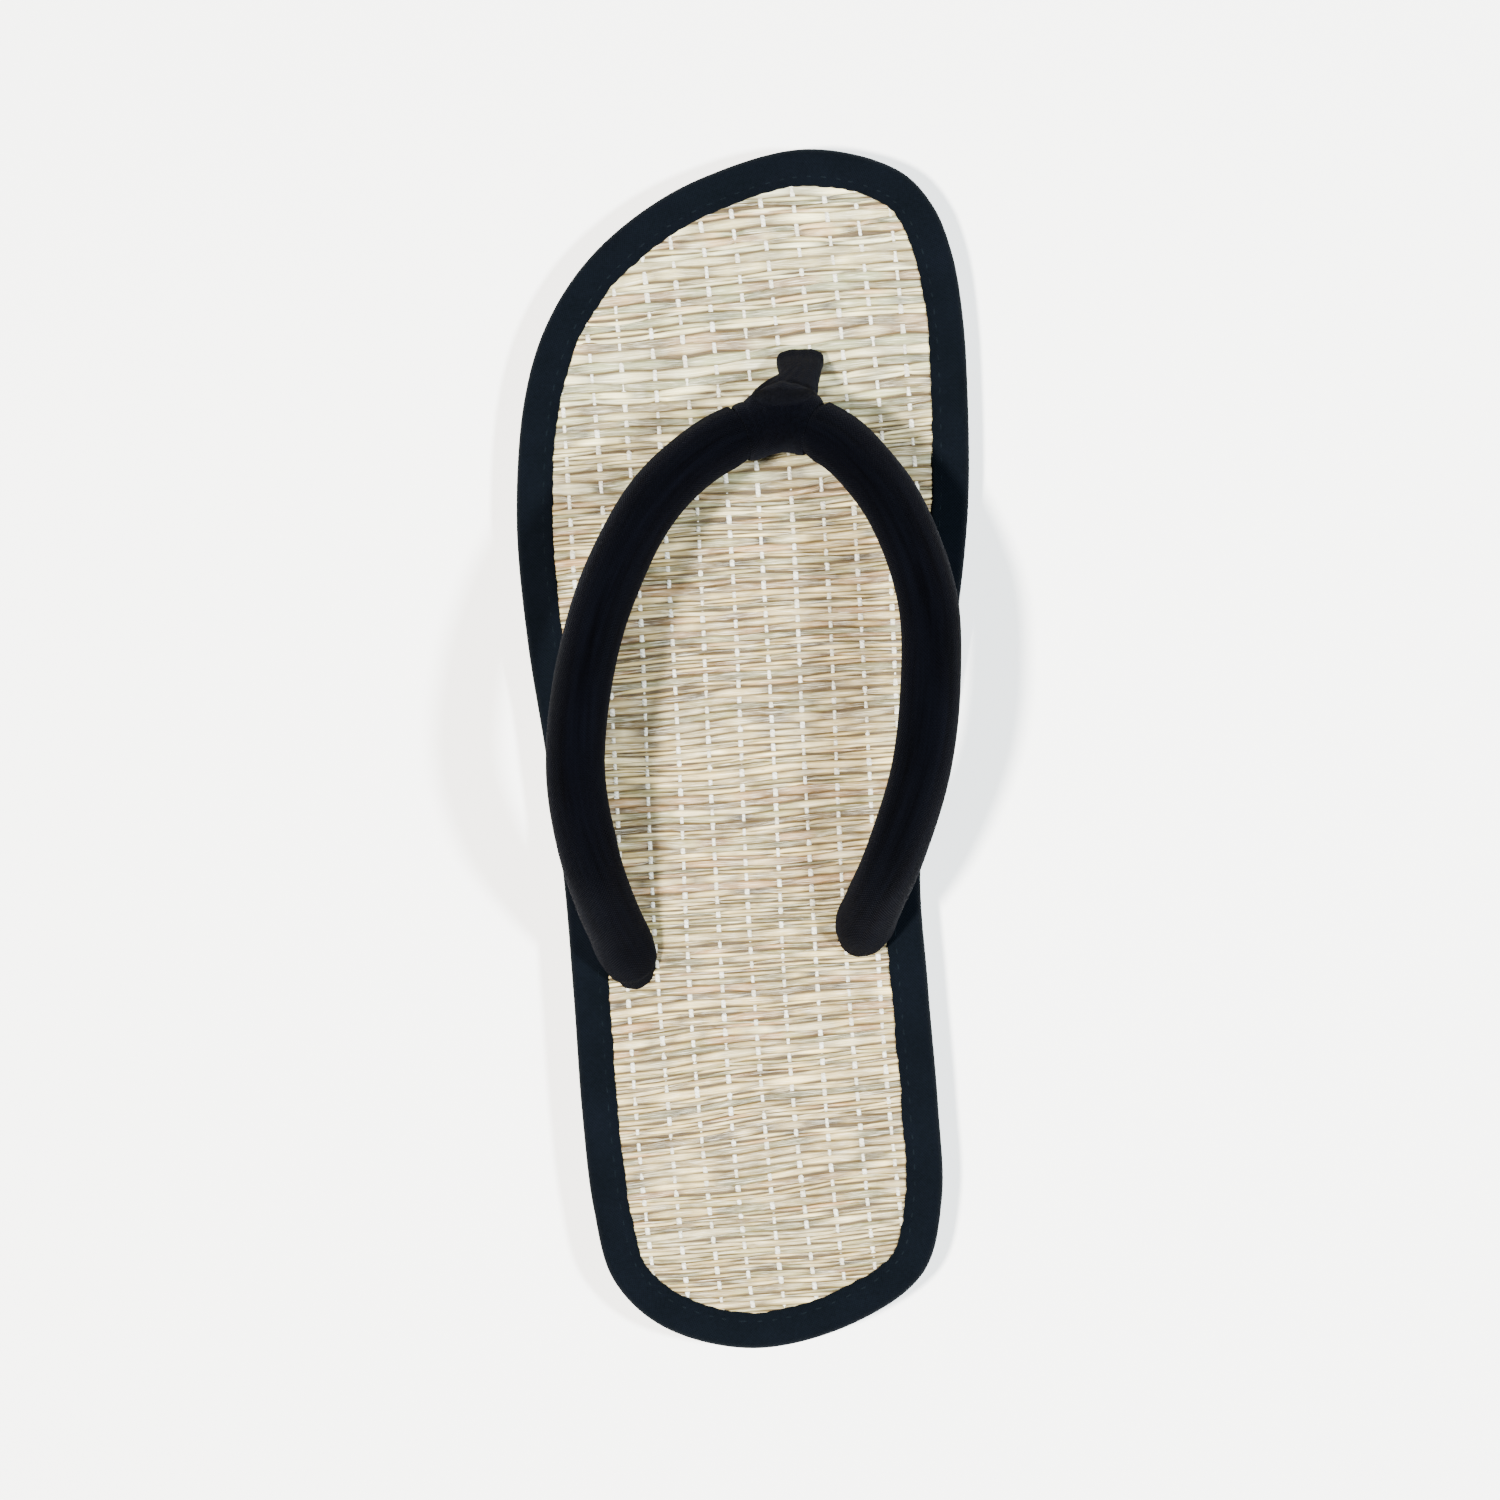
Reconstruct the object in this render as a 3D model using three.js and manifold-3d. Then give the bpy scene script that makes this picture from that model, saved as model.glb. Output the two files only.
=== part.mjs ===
// Woven mat slipper for the left foot: a foam outsole, a woven mat with a cloth binding round its
// edge, a padded strap and a toe thong.
// Millimetres. +Y runs to the toe, +X to the big toe side, +Z up from the ground, and the middle of
// the outline is at x = 0, y = 0.
import * as THREE from 'three';
import Module from 'manifold-3d';

// Driving sizes
const SOLE_LENGTH = 256;
const BALL_WIDTH = 97.8;
const INSTEP_RISE = 38;

// Outsole
const HEEL_THICK = 11;
const BALL_THICK = 8;
const ARCH_RISE = 1.5;
const TOE_SPRING = 3.2;
const SOLE_INSET = 0.6;
const SOLE_CHAMFER = 1;
const TREAD_PITCH = 8;
const TREAD_WIDTH = 2;
const TREAD_DEPTH = 1.1;
const TREAD_MARGIN = 6;

// Mat and binding
const FIT_GAP = 0.3;
const MAT_THICK = 3;
const PICK_PITCH = 1.85;
const PICK_RISE = 0.45;
const PICK_VALLEY = 0.05;
const PICK_ANGLE = 2.3;
const TAPE_THICK = 0.8;
const TAPE_TOP_WIDTH = 7.9;
const TAPE_UNDER_WIDTH = 6.8;
const TAPE_ROUND = 1.6;

// Strap and toe thong
const STRAP_RADIUS = 6.1;
const STRAP_END_SHARE = 0.72;
const STRAP_TAPER = 12;
const STRAP_PINCH = 1.1;
const PINCH_BLEND = 6;
const HOLE_MARGIN = 0.9;
const POCKET_DEPTH = 2.6;
const BAND_LENGTH = 15.6;
const BAND_THICK = 1.05;
const BAND_ROUND = 0.25;
const THONG_WIDTH = 9.6;
const THONG_THICK = 6;
const THONG_GROOVE = 0.22;
const GROOVE_SPREAD = 0.3;
const THONG_END_SHARE = 0.9;

// Where the underside leaves the ground, as shares of the length from the heel
const ARCH_FROM = 0.3;
const ARCH_TO = 0.56;
const WEDGE_TO = 0.62;
const SPRING_FROM = 0.8;

// Outline of the binding. along: share of the length from the heel. lateral, medial: shares of the
// ball width from the middle line.
const HEEL_TIP = { along: 0, across: -0.031 };
const TOE_TIP = { along: 1, across: 0.164 };
const OUTLINE_ROWS = [
  { along: 0.02, lateral: -0.230, medial: 0.193 },
  { along: 0.06, lateral: -0.335, medial: 0.342 },
  { along: 0.12, lateral: -0.374, medial: 0.387 },
  { along: 0.20, lateral: -0.393, medial: 0.385 },
  { along: 0.30, lateral: -0.404, medial: 0.371 },
  { along: 0.40, lateral: -0.419, medial: 0.363 },
  { along: 0.50, lateral: -0.450, medial: 0.408 },
  { along: 0.60, lateral: -0.485, medial: 0.457 },
  { along: 0.70, lateral: -0.500, medial: 0.491 },
  { along: 0.80, lateral: -0.475, medial: 0.497 },
  { along: 0.86, lateral: -0.424, medial: 0.491 },
  { along: 0.91, lateral: -0.337, medial: 0.472 },
  { along: 0.95, lateral: -0.216, medial: 0.433 },
  { along: 0.98, lateral: -0.065, medial: 0.360 },
];

// The two holes for the strap lie just inside the binding. along: share of the length from the middle.
const LATERAL_HOLE = { along: -0.1777 };
const MEDIAL_HOLE = { along: -0.157 };

// Middle line of the strap from the lateral hole round the toe end to the medial hole. across: share
// of the ball width. along: share of the length from the middle. rise: share of the instep's rise
// over the mat.
const STRAP_ROWS = [
  { across: -0.290, along: -0.149, rise: 0.263 },
  { across: -0.313, along: -0.117, rise: 0.526 },
  { across: -0.332, along: -0.0805, rise: 0.763 },
  { across: -0.349, along: -0.0156, rise: 0.947 },
  { across: -0.328, along: 0.057, rise: 1 },
  { across: -0.280, along: 0.125, rise: 0.961 },
  { across: -0.192, along: 0.193, rise: 0.855 },
  { across: -0.115, along: 0.227, rise: 0.776 },
  { across: -0.013, along: 0.253, rise: 0.697 },
  { across: 0.116, along: 0.266, rise: 0.632 },
  { across: 0.213, along: 0.250, rise: 0.684 },
  { across: 0.283, along: 0.223, rise: 0.75 },
  { across: 0.343, along: 0.187, rise: 0.829 },
  { across: 0.401, along: 0.117, rise: 0.947 },
  { across: 0.402, along: 0.048, rise: 1 },
  { across: 0.375, along: -0.020, rise: 0.947 },
  { across: 0.313, along: -0.088, rise: 0.711 },
  { across: 0.272, along: -0.122, rise: 0.447 },
];

// Sections of the toe thong from the mat up to the strap. wide: share of the thong's width. thick:
// share of its thickness. The other columns are as for the strap.
const THONG_ROWS = [
  { across: 0.1365, along: 0.3227, rise: 0, wide: 0.96, thick: 0.96 },
  { across: 0.1355, along: 0.3133, rise: 0.21, wide: 1, thick: 1 },
  { across: 0.128, along: 0.3035, rise: 0.342, wide: 1.08, thick: 1 },
  { across: 0.114, along: 0.2938, rise: 0.46, wide: 1.3, thick: 0.94 },
  { across: 0.104, along: 0.2852, rise: 0.566, wide: 1.46, thick: 0.8 },
  { across: 0.102, along: 0.2762, rise: 0.658, wide: 1.5, thick: 0.66 },
];

// Middle of the band on the strap, as an across share of the ball width
const BAND_ACROSS = 0.09;

// How finely curves are cut into facets
const OUTLINE_SIDES = 96;
const FINE_SIDES = 720;
const STRAP_SIDES = 14;
const STRAP_STATIONS = 72;
const BAND_STATIONS = 8;
const THONG_SIDES = 20;
const THONG_STATIONS = 9;

const wasm = await Module();
wasm.setup();

const smooth = (from, to, value) => THREE.MathUtils.smoothstep(value, from, to);
const shareOf = (y) => y / SOLE_LENGTH + 0.5;

// Levels along the shoe

function spring(y) {
  const past = Math.max(0, (shareOf(y) - SPRING_FROM) / (1 - SPRING_FROM));
  return TOE_SPRING * past ** 2;
}

function underside(y) {
  const past = THREE.MathUtils.clamp((shareOf(y) - ARCH_FROM) / (ARCH_TO - ARCH_FROM), 0, 1);
  return spring(y) + ARCH_RISE * Math.sin(Math.PI * past) ** 2;
}

function soleTop(y) {
  return spring(y) + HEEL_THICK + (BALL_THICK - HEEL_THICK) * smooth(ARCH_FROM, WEDGE_TO, shareOf(y));
}

const matBase = (y) => soleTop(y) + FIT_GAP;
const rimBase = (y) => matBase(y) + TAPE_THICK + FIT_GAP;
const matTop = (y) => rimBase(y) + MAT_THICK;

// How far the strap ends and the thong go down from the top of the mat
const BURIED_DEPTH = MAT_THICK + TAPE_THICK + 2 * FIT_GAP + POCKET_DEPTH;

// Outline

function outlineCurve() {
  const corner = (along, across) => new THREE.Vector3(across, along - 0.5, 0);
  const rows = [
    corner(HEEL_TIP.along, HEEL_TIP.across),
    ...OUTLINE_ROWS.map((row) => corner(row.along, row.medial)),
    corner(TOE_TIP.along, TOE_TIP.across),
    ...OUTLINE_ROWS.toReversed().map((row) => corner(row.along, row.lateral)),
  ];
  const curve = new THREE.CatmullRomCurve3(rows, true, 'centripetal');
  const box = new THREE.Box3().setFromPoints(curve.getPoints(FINE_SIDES));
  const middle = box.getCenter(new THREE.Vector3());
  const reach = box.getSize(new THREE.Vector3());
  return new THREE.CatmullRomCurve3(
    rows.map((row) => new THREE.Vector3(
      (row.x - middle.x) / reach.x * BALL_WIDTH,
      (row.y - middle.y) / reach.y * SOLE_LENGTH,
      0,
    )),
    true,
    'centripetal',
  );
}

const OUTLINE = outlineCurve();
OUTLINE.arcLengthDivisions = FINE_SIDES;

// Points of the outline moved in by an inset, anticlockwise from the heel
function outlinePoints(sides, inset) {
  const points = [];
  for (let i = 0; i < sides; i += 1) {
    const point = OUTLINE.getPointAt(i / sides);
    const run = OUTLINE.getTangentAt(i / sides);
    points.push(new THREE.Vector2(point.x - run.y * inset, point.y + run.x * inset));
  }
  return points;
}

// Least and greatest x where a closed row of points crosses a level y
function crossings(points, y) {
  const hits = [];
  points.forEach((a, i) => {
    const b = points[(i + 1) % points.length];
    if ((a.y - y) * (b.y - y) < 0) {
      hits.push(a.x + (b.x - a.x) * (y - a.y) / (b.y - a.y));
    }
  });
  return [Math.min(...hits), Math.max(...hits)];
}

// Bodies

function body(points, faces) {
  const mesh = new wasm.Mesh({
    numProp: 3,
    vertProperties: Float32Array.from(points.flat()),
    triVerts: Uint32Array.from(faces.flat()),
  });
  mesh.merge();
  return new wasm.Manifold(mesh);
}

// Triangles that close a ring of outline points, from the heel to the toe across the shoe
function capFaces(ring) {
  const last = ring.length;
  const toe = ring.reduce((best, point, i) => (point.y > ring[best].y ? i : best), 0);
  const heel = ring.reduce((best, point, i) => (point.y < ring[best].y ? i : best), 0);
  const right = [];
  for (let i = heel; i % last !== toe; i += 1) {
    right.push(i % last);
  }
  right.push(toe);
  const left = [];
  for (let i = heel + last; i % last !== toe; i -= 1) {
    left.push(i % last);
  }
  left.push(toe);
  const faces = [];
  let a = 0;
  let b = 0;
  while (a < right.length - 1 || b < left.length - 1) {
    const nextRight = a < right.length - 1 ? ring[right[a + 1]].y : Infinity;
    const nextLeft = b < left.length - 1 ? ring[left[b + 1]].y : Infinity;
    const goRight = nextRight <= nextLeft;
    const next = goRight ? right[a + 1] : left[b + 1];
    const face = [left[b], right[a], next];
    if (new Set(face).size === 3) {
      faces.push(face);
    }
    a += goRight ? 1 : 0;
    b += goRight ? 0 : 1;
  }
  return faces;
}

// A body between levels from the lowest up. Each level has an inset and a height along y.
function outlineBody(levels) {
  const points = [];
  const faces = [];
  const cap = capFaces(outlinePoints(OUTLINE_SIDES, 0));
  levels.forEach((level) => {
    outlinePoints(OUTLINE_SIDES, level.inset).forEach((point) => {
      points.push([point.x, point.y, level.height(point.y)]);
    });
  });
  for (let k = 0; k < levels.length - 1; k += 1) {
    for (let i = 0; i < OUTLINE_SIDES; i += 1) {
      const j = (i + 1) % OUTLINE_SIDES;
      const low = k * OUTLINE_SIDES;
      const high = low + OUTLINE_SIDES;
      faces.push([low + i, low + j, high + j], [low + i, high + j, high + i]);
    }
  }
  const top = (levels.length - 1) * OUTLINE_SIDES;
  cap.forEach(([a, b, c]) => {
    faces.push([a, c, b], [top + a, top + b, top + c]);
  });
  return body(points, faces);
}

// A closed ring with the same section all round the outline. Section rows are [outward, up].
function ringBody(section, height) {
  const points = [];
  const faces = [];
  section.forEach(([outward, up]) => {
    outlinePoints(OUTLINE_SIDES, -outward).forEach((point) => {
      points.push([point.x, point.y, height(point.y) + up]);
    });
  });
  section.forEach((corner, k) => {
    const low = k * OUTLINE_SIDES;
    const high = ((k + 1) % section.length) * OUTLINE_SIDES;
    for (let i = 0; i < OUTLINE_SIDES; i += 1) {
      const j = (i + 1) % OUTLINE_SIDES;
      faces.push([low + i, low + j, high + j], [low + i, high + j, high + i]);
    }
  });
  return body(points, faces);
}

// A body lofted through closed rings that hold the same number of points
function loftBody(rings) {
  const sides = rings[0].length;
  const points = rings.flat().map((point) => [point.x, point.y, point.z]);
  const faces = [];
  for (let k = 0; k < rings.length - 1; k += 1) {
    for (let i = 0; i < sides; i += 1) {
      const j = (i + 1) % sides;
      const low = k * sides;
      const high = low + sides;
      faces.push([low + i, low + j, high + j], [low + i, high + j, high + i]);
    }
  }
  const top = (rings.length - 1) * sides;
  for (let i = 1; i < sides - 1; i += 1) {
    faces.push([0, i + 1, i], [top, top + i, top + i + 1]);
  }
  return body(points, faces);
}

// Outsole

function treadGrooves() {
  const inset = SOLE_INSET + TREAD_MARGIN;
  const field = outlineBody([
    { inset, height: () => -TREAD_DEPTH },
    { inset, height: (y) => underside(y) + TREAD_DEPTH },
  ]);
  const bars = [];
  const lay = (from, to) => {
    const count = Math.floor((to - from) * SOLE_LENGTH / TREAD_PITCH);
    const start = ((from + to) / 2 - 0.5) * SOLE_LENGTH - (count - 1) / 2 * TREAD_PITCH;
    for (let i = 0; i < count; i += 1) {
      bars.push(wasm.Manifold.cube([BALL_WIDTH * 2, TREAD_WIDTH, HEEL_THICK * 2], true)
        .translate([0, start + i * TREAD_PITCH, 0]));
    }
  };
  lay(0.06, ARCH_FROM - 0.02);
  lay(ARCH_TO + 0.01, 0.93);
  return wasm.Manifold.union(bars).intersect(field);
}

function outsole(fitted) {
  const block = outlineBody([
    { inset: SOLE_INSET + SOLE_CHAMFER, height: underside },
    { inset: SOLE_INSET, height: (y) => underside(y) + SOLE_CHAMFER },
    { inset: SOLE_INSET, height: soleTop },
  ]);
  return block.subtract(treadGrooves()).subtract(fitted);
}

// Mat

// The raised picks: crosswise ridges that lean by the pick angle, inside the binding
function picks(inset) {
  const lean = THREE.MathUtils.degToRad(PICK_ANGLE);
  const middle = new THREE.Vector2();
  const edge = outlinePoints(OUTLINE_SIDES, inset).map((point) => point.rotateAround(middle, -lean));
  const from = Math.min(...edge.map((point) => point.y)) + PICK_PITCH / 4;
  const to = Math.max(...edge.map((point) => point.y)) - PICK_PITCH / 4;
  const count = Math.floor((to - from) / PICK_PITCH) * 2;
  const rings = [];
  for (let k = 0; k <= count; k += 1) {
    const run = from + (to - from) * k / count;
    const [low, high] = crossings(edge, run);
    const rise = k % 2 === 0 ? PICK_VALLEY : PICK_RISE;
    const left = new THREE.Vector2(low, run).rotateAround(middle, lean);
    const right = new THREE.Vector2(high, run).rotateAround(middle, lean);
    rings.push([
      new THREE.Vector3(left.x, left.y, matTop(left.y) - MAT_THICK / 2),
      new THREE.Vector3(left.x, left.y, matTop(left.y) + rise),
      new THREE.Vector3(right.x, right.y, matTop(right.y) + rise),
      new THREE.Vector3(right.x, right.y, matTop(right.y) - MAT_THICK / 2),
    ]);
  }
  return loftBody(rings);
}

function mat(fitted) {
  const edge = TAPE_THICK + FIT_GAP;
  const rim = outlineBody([
    { inset: edge, height: rimBase },
    { inset: edge, height: matTop },
  ]);
  const foot = outlineBody([
    { inset: TAPE_UNDER_WIDTH + FIT_GAP, height: matBase },
    { inset: TAPE_UNDER_WIDTH + FIT_GAP, height: (y) => rimBase(y) + MAT_THICK / 2 },
  ]);
  return rim.add(foot).add(picks(TAPE_TOP_WIDTH + FIT_GAP)).subtract(fitted);
}

// Binding

function binding() {
  const top = MAT_THICK + 2 * (TAPE_THICK + FIT_GAP);
  const soft = TAPE_ROUND * (1 - Math.SQRT1_2);
  return ringBody([
    [-TAPE_UNDER_WIDTH, 0],
    [-TAPE_ROUND, 0],
    [-soft, soft],
    [0, TAPE_ROUND],
    [0, top - TAPE_ROUND],
    [-soft, top - soft],
    [-TAPE_ROUND, top],
    [-TAPE_TOP_WIDTH, top],
    [-TAPE_TOP_WIDTH, top - TAPE_THICK],
    [-TAPE_THICK, top - TAPE_THICK],
    [-TAPE_THICK, TAPE_THICK],
    [-TAPE_UNDER_WIDTH, TAPE_THICK],
  ], matBase);
}

// Strap and toe thong

function place(row) {
  const y = row.along * SOLE_LENGTH;
  return new THREE.Vector3(row.across * BALL_WIDTH, y, matTop(y) + row.rise * INSTEP_RISE);
}

// A point below an end of a row of points, sunk by a depth, with part of the lean carried on
function sink(end, before, depth) {
  const lean = end.clone().sub(before);
  const point = end.clone().addScaledVector(lean, depth / Math.abs(lean.z) / 2);
  point.z = end.z - depth;
  return point;
}

// Middle of a strap hole at the top of the mat
function hole(along, side) {
  const y = along * SOLE_LENGTH;
  const inset = TAPE_TOP_WIDTH + FIT_GAP + HOLE_MARGIN + STRAP_RADIUS * STRAP_END_SHARE;
  return new THREE.Vector3(crossings(outlinePoints(FINE_SIDES, inset), y)[side], y, matTop(y));
}

function strapCurve(grow) {
  const rows = [
    hole(LATERAL_HOLE.along, 0),
    ...STRAP_ROWS.map(place),
    hole(MEDIAL_HOLE.along, 1),
  ];
  const depth = BURIED_DEPTH + grow;
  const curve = new THREE.CatmullRomCurve3([
    sink(rows.at(0), rows.at(1), depth),
    ...rows,
    sink(rows.at(-1), rows.at(-2), depth),
  ], false, 'centripetal');
  curve.arcLengthDivisions = FINE_SIDES;
  return curve;
}

// Share of the strap's run where the band's middle lies. The strap runs from the lateral side over
// to the medial side, so it first passes that line across the shoe at the band.
function bandShare(curve) {
  let step = 0;
  while (curve.getPointAt(step / FINE_SIDES).x < BAND_ACROSS * BALL_WIDTH) {
    step += 1;
  }
  return step / FINE_SIDES;
}

// The strap is thin in its holes, full above them and pinched under the band
function strapRadius(point, bandMiddle) {
  const rise = point.z - matTop(point.y);
  const full = STRAP_END_SHARE + (1 - STRAP_END_SHARE) * smooth(-STRAP_TAPER / 3, STRAP_TAPER, rise);
  const start = BAND_LENGTH / 2 - PINCH_BLEND / 4;
  const free = smooth(start, start + PINCH_BLEND, point.distanceTo(bandMiddle));
  return STRAP_RADIUS * full - STRAP_PINCH * (1 - free);
}

// Rings square to a curve between two shares of its run
function tubeRings(curve, from, to, stations, sides, radiusAt) {
  const rings = [];
  const side = new THREE.Vector3();
  const up = new THREE.Vector3();
  for (let k = 0; k <= stations; k += 1) {
    const share = from + (to - from) * k / stations;
    const point = curve.getPointAt(share);
    const run = curve.getTangentAt(share);
    const spread = new THREE.Vector3(point.x, point.y - 0.05 * SOLE_LENGTH, 0).normalize();
    up.crossVectors(run, spread).normalize();
    side.crossVectors(up, run).normalize();
    const radius = radiusAt(point, k / stations);
    const ring = [];
    for (let i = 0; i < sides; i += 1) {
      const turn = i / sides * 2 * Math.PI;
      ring.push(point.clone()
        .addScaledVector(side, Math.cos(turn) * radius)
        .addScaledVector(up, Math.sin(turn) * radius));
    }
    rings.push(ring);
  }
  return rings;
}

function strap(grow) {
  const curve = strapCurve(grow);
  const middle = curve.getPointAt(bandShare(curve));
  const radiusAt = (point) => strapRadius(point, middle) + grow;
  return loftBody(tubeRings(curve, 0, 1, STRAP_STATIONS, STRAP_SIDES, radiusAt));
}

function band() {
  const curve = strapCurve(0);
  const share = bandShare(curve);
  const half = BAND_LENGTH / 2 / curve.getLength();
  const radius = STRAP_RADIUS - STRAP_PINCH + FIT_GAP + BAND_THICK;
  const radiusAt = (point, along) => radius - BAND_ROUND * Math.abs(2 * along - 1) ** 6;
  return loftBody(tubeRings(curve, share - half, share + half, BAND_STATIONS, THONG_SIDES, radiusAt));
}

// Level sections of the post between the toes: a squared oval with a groove down its front
function post(grow) {
  const squared = (value) => Math.sign(value) * Math.abs(value) ** 0.8;
  const rows = THONG_ROWS.map(place);
  const low = sink(rows[0], rows[1], BURIED_DEPTH + grow);
  const middles = new THREE.CatmullRomCurve3([low, ...rows], false, 'centripetal');
  const sizes = new THREE.CatmullRomCurve3([
    new THREE.Vector3(THONG_END_SHARE, THONG_END_SHARE, 0),
    ...THONG_ROWS.map((row) => new THREE.Vector3(row.wide, row.thick, 0)),
  ], false, 'centripetal');
  const rings = [];
  for (let k = 0; k <= THONG_STATIONS; k += 1) {
    const point = middles.getPoint(k / THONG_STATIONS);
    const size = sizes.getPoint(k / THONG_STATIONS);
    const wide = size.x * THONG_WIDTH / 2 + grow;
    const thick = size.y * THONG_THICK / 2 + grow;
    const ring = [];
    for (let i = 0; i < THONG_SIDES; i += 1) {
      const turn = (i + 0.5) / THONG_SIDES * 2 * Math.PI;
      const x = squared(Math.cos(turn));
      const y = squared(Math.sin(turn));
      const groove = y > 0 ? THONG_GROOVE * Math.exp(-((x / GROOVE_SPREAD) ** 2)) : 0;
      ring.push(new THREE.Vector3(point.x + x * wide, point.y + y * (1 - groove) * thick, point.z));
    }
    rings.push(ring);
  }
  return loftBody(rings);
}

// Finished pieces

const FINISHES = {
  outsole: { color: 0x17191c, roughness: 0.9 },
  mat: { color: 0xd9cba3, roughness: 0.8 },
  binding: { color: 0x14202a, roughness: 0.85 },
  strap: { color: 0x0c0d14, roughness: 0.95 },
  toe_thong: { color: 0x0d0e15, roughness: 0.95 },
};

function piece(name, solid) {
  const mesh = solid.getMesh();
  const geometry = new THREE.BufferGeometry();
  geometry.setAttribute('position', new THREE.BufferAttribute(Float32Array.from(mesh.vertProperties), 3));
  geometry.setIndex(new THREE.BufferAttribute(Uint32Array.from(mesh.triVerts), 1));
  geometry.computeVertexNormals();
  const material = new THREE.MeshStandardMaterial({ ...FINISHES[name], metalness: 0, flatShading: true });
  material.name = `${name}_material`;
  const result = new THREE.Mesh(geometry, material);
  result.name = name;
  return result;
}

const fittedEnds = strap(FIT_GAP).add(post(FIT_GAP));
const slipper = new THREE.Group();
slipper.name = 'woven_mat_slipper';
slipper.add(
  piece('outsole', outsole(fittedEnds)),
  piece('mat', mat(fittedEnds)),
  piece('binding', binding()),
  piece('strap', strap(0)),
  piece('toe_thong', band().add(post(0)).subtract(strap(FIT_GAP))),
);

export default slipper;
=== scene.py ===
# Woven mat slipper for the left foot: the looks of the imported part.
# Sizes are millimetres until a mesh is made, then metres. +Y runs to the toe, +X to the big toe
# side, +Z up from the ground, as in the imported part.
import math
import random

import bmesh
import bpy
import numpy as np
from mathutils import Matrix, Vector


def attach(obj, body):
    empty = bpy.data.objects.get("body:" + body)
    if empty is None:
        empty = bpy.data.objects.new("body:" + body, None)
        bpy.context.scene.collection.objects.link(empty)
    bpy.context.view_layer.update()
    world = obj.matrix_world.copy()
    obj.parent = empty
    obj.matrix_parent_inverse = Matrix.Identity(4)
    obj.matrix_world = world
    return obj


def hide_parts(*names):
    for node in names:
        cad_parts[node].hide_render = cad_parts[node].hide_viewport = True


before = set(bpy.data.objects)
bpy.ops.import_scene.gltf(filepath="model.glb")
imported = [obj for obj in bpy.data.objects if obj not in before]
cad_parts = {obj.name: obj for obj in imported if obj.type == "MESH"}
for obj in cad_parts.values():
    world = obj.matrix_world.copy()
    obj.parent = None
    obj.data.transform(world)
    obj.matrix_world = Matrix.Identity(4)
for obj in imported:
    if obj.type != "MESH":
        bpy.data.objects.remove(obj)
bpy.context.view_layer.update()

MM = 0.001
SEED = 4128

# Sizes, tables and levels of the part

SOLE_LENGTH = 256.0
BALL_WIDTH = 97.8
INSTEP_RISE = 38.0
HEEL_THICK = 11.0
BALL_THICK = 8.0
TOE_SPRING = 3.2
FIT_GAP = 0.3
MAT_THICK = 3.0
TAPE_THICK = 0.8
TAPE_TOP_WIDTH = 7.9
TAPE_UNDER_WIDTH = 6.8
TAPE_ROUND = 1.6
STRAP_RADIUS = 6.1
STRAP_END_SHARE = 0.72
STRAP_TAPER = 12.0
STRAP_PINCH = 1.1
PINCH_BLEND = 6.0
HOLE_MARGIN = 0.9
POCKET_DEPTH = 2.6
BAND_LENGTH = 15.6
BAND_THICK = 1.05
THONG_WIDTH = 9.6
THONG_THICK = 6.0
THONG_END_SHARE = 0.9
BURIED_DEPTH = MAT_THICK + TAPE_THICK + 2 * FIT_GAP + POCKET_DEPTH
TAPE_LEVEL = MAT_THICK + 2 * (TAPE_THICK + FIT_GAP)
WARP_PITCH = 6.78
WARPS = range(-12, 13)
PICK_LEAN = math.radians(2.5)
LEAN_COS = math.cos(PICK_LEAN)
LEAN_SIN = math.sin(PICK_LEAN)
STEM_FOOT = -0.44
STEM_TUCK = 0.7
BACKING_DEPTH = 0.42
STITCH_INSET = 5.95
BAND_HALF = BAND_LENGTH / 2
BAND_SIDES = 80
POST_SIDES = 64
FLOOR_REACH = 6000

# In metres, as Blender reads them
CAMERA_AT = Vector((0.047, 0.0, 0.914))
CAMERA_AIM = Vector((0.0, 0.0, 0.014))
CAMERA_LEAN = math.radians(1.76)
CAMERA_LENS = 101
LAMP_DISTANCE = 1.3
LAMP_SIZE = 0.11

# along: share of the length from the heel; lateral, medial: shares of the ball width
HEEL_TIP = (0.0, -0.031)
TOE_TIP = (1.0, 0.164)
OUTLINE_ROWS = [
    (0.02, -0.230, 0.193), (0.06, -0.335, 0.342), (0.12, -0.374, 0.387), (0.20, -0.393, 0.385),
    (0.30, -0.404, 0.371), (0.40, -0.419, 0.363), (0.50, -0.450, 0.408), (0.60, -0.485, 0.457),
    (0.70, -0.500, 0.491), (0.80, -0.475, 0.497), (0.86, -0.424, 0.491), (0.91, -0.337, 0.472),
    (0.95, -0.216, 0.433), (0.98, -0.065, 0.360),
]
LATERAL_HOLE = -0.1777
MEDIAL_HOLE = -0.157

# across: share of the ball width; along: share of the length from the middle; rise: share of the
# instep's rise over the mat
STRAP_ROWS = [
    (-0.290, -0.149, 0.263), (-0.313, -0.117, 0.526), (-0.332, -0.0805, 0.763),
    (-0.349, -0.0156, 0.947), (-0.328, 0.057, 1.0), (-0.280, 0.125, 0.961),
    (-0.192, 0.193, 0.855), (-0.115, 0.227, 0.776), (-0.013, 0.253, 0.697),
    (0.116, 0.266, 0.632), (0.213, 0.250, 0.684), (0.283, 0.223, 0.75), (0.343, 0.187, 0.829),
    (0.401, 0.117, 0.947), (0.402, 0.048, 1.0), (0.375, -0.020, 0.947), (0.313, -0.088, 0.711),
    (0.272, -0.122, 0.447),
]
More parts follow.
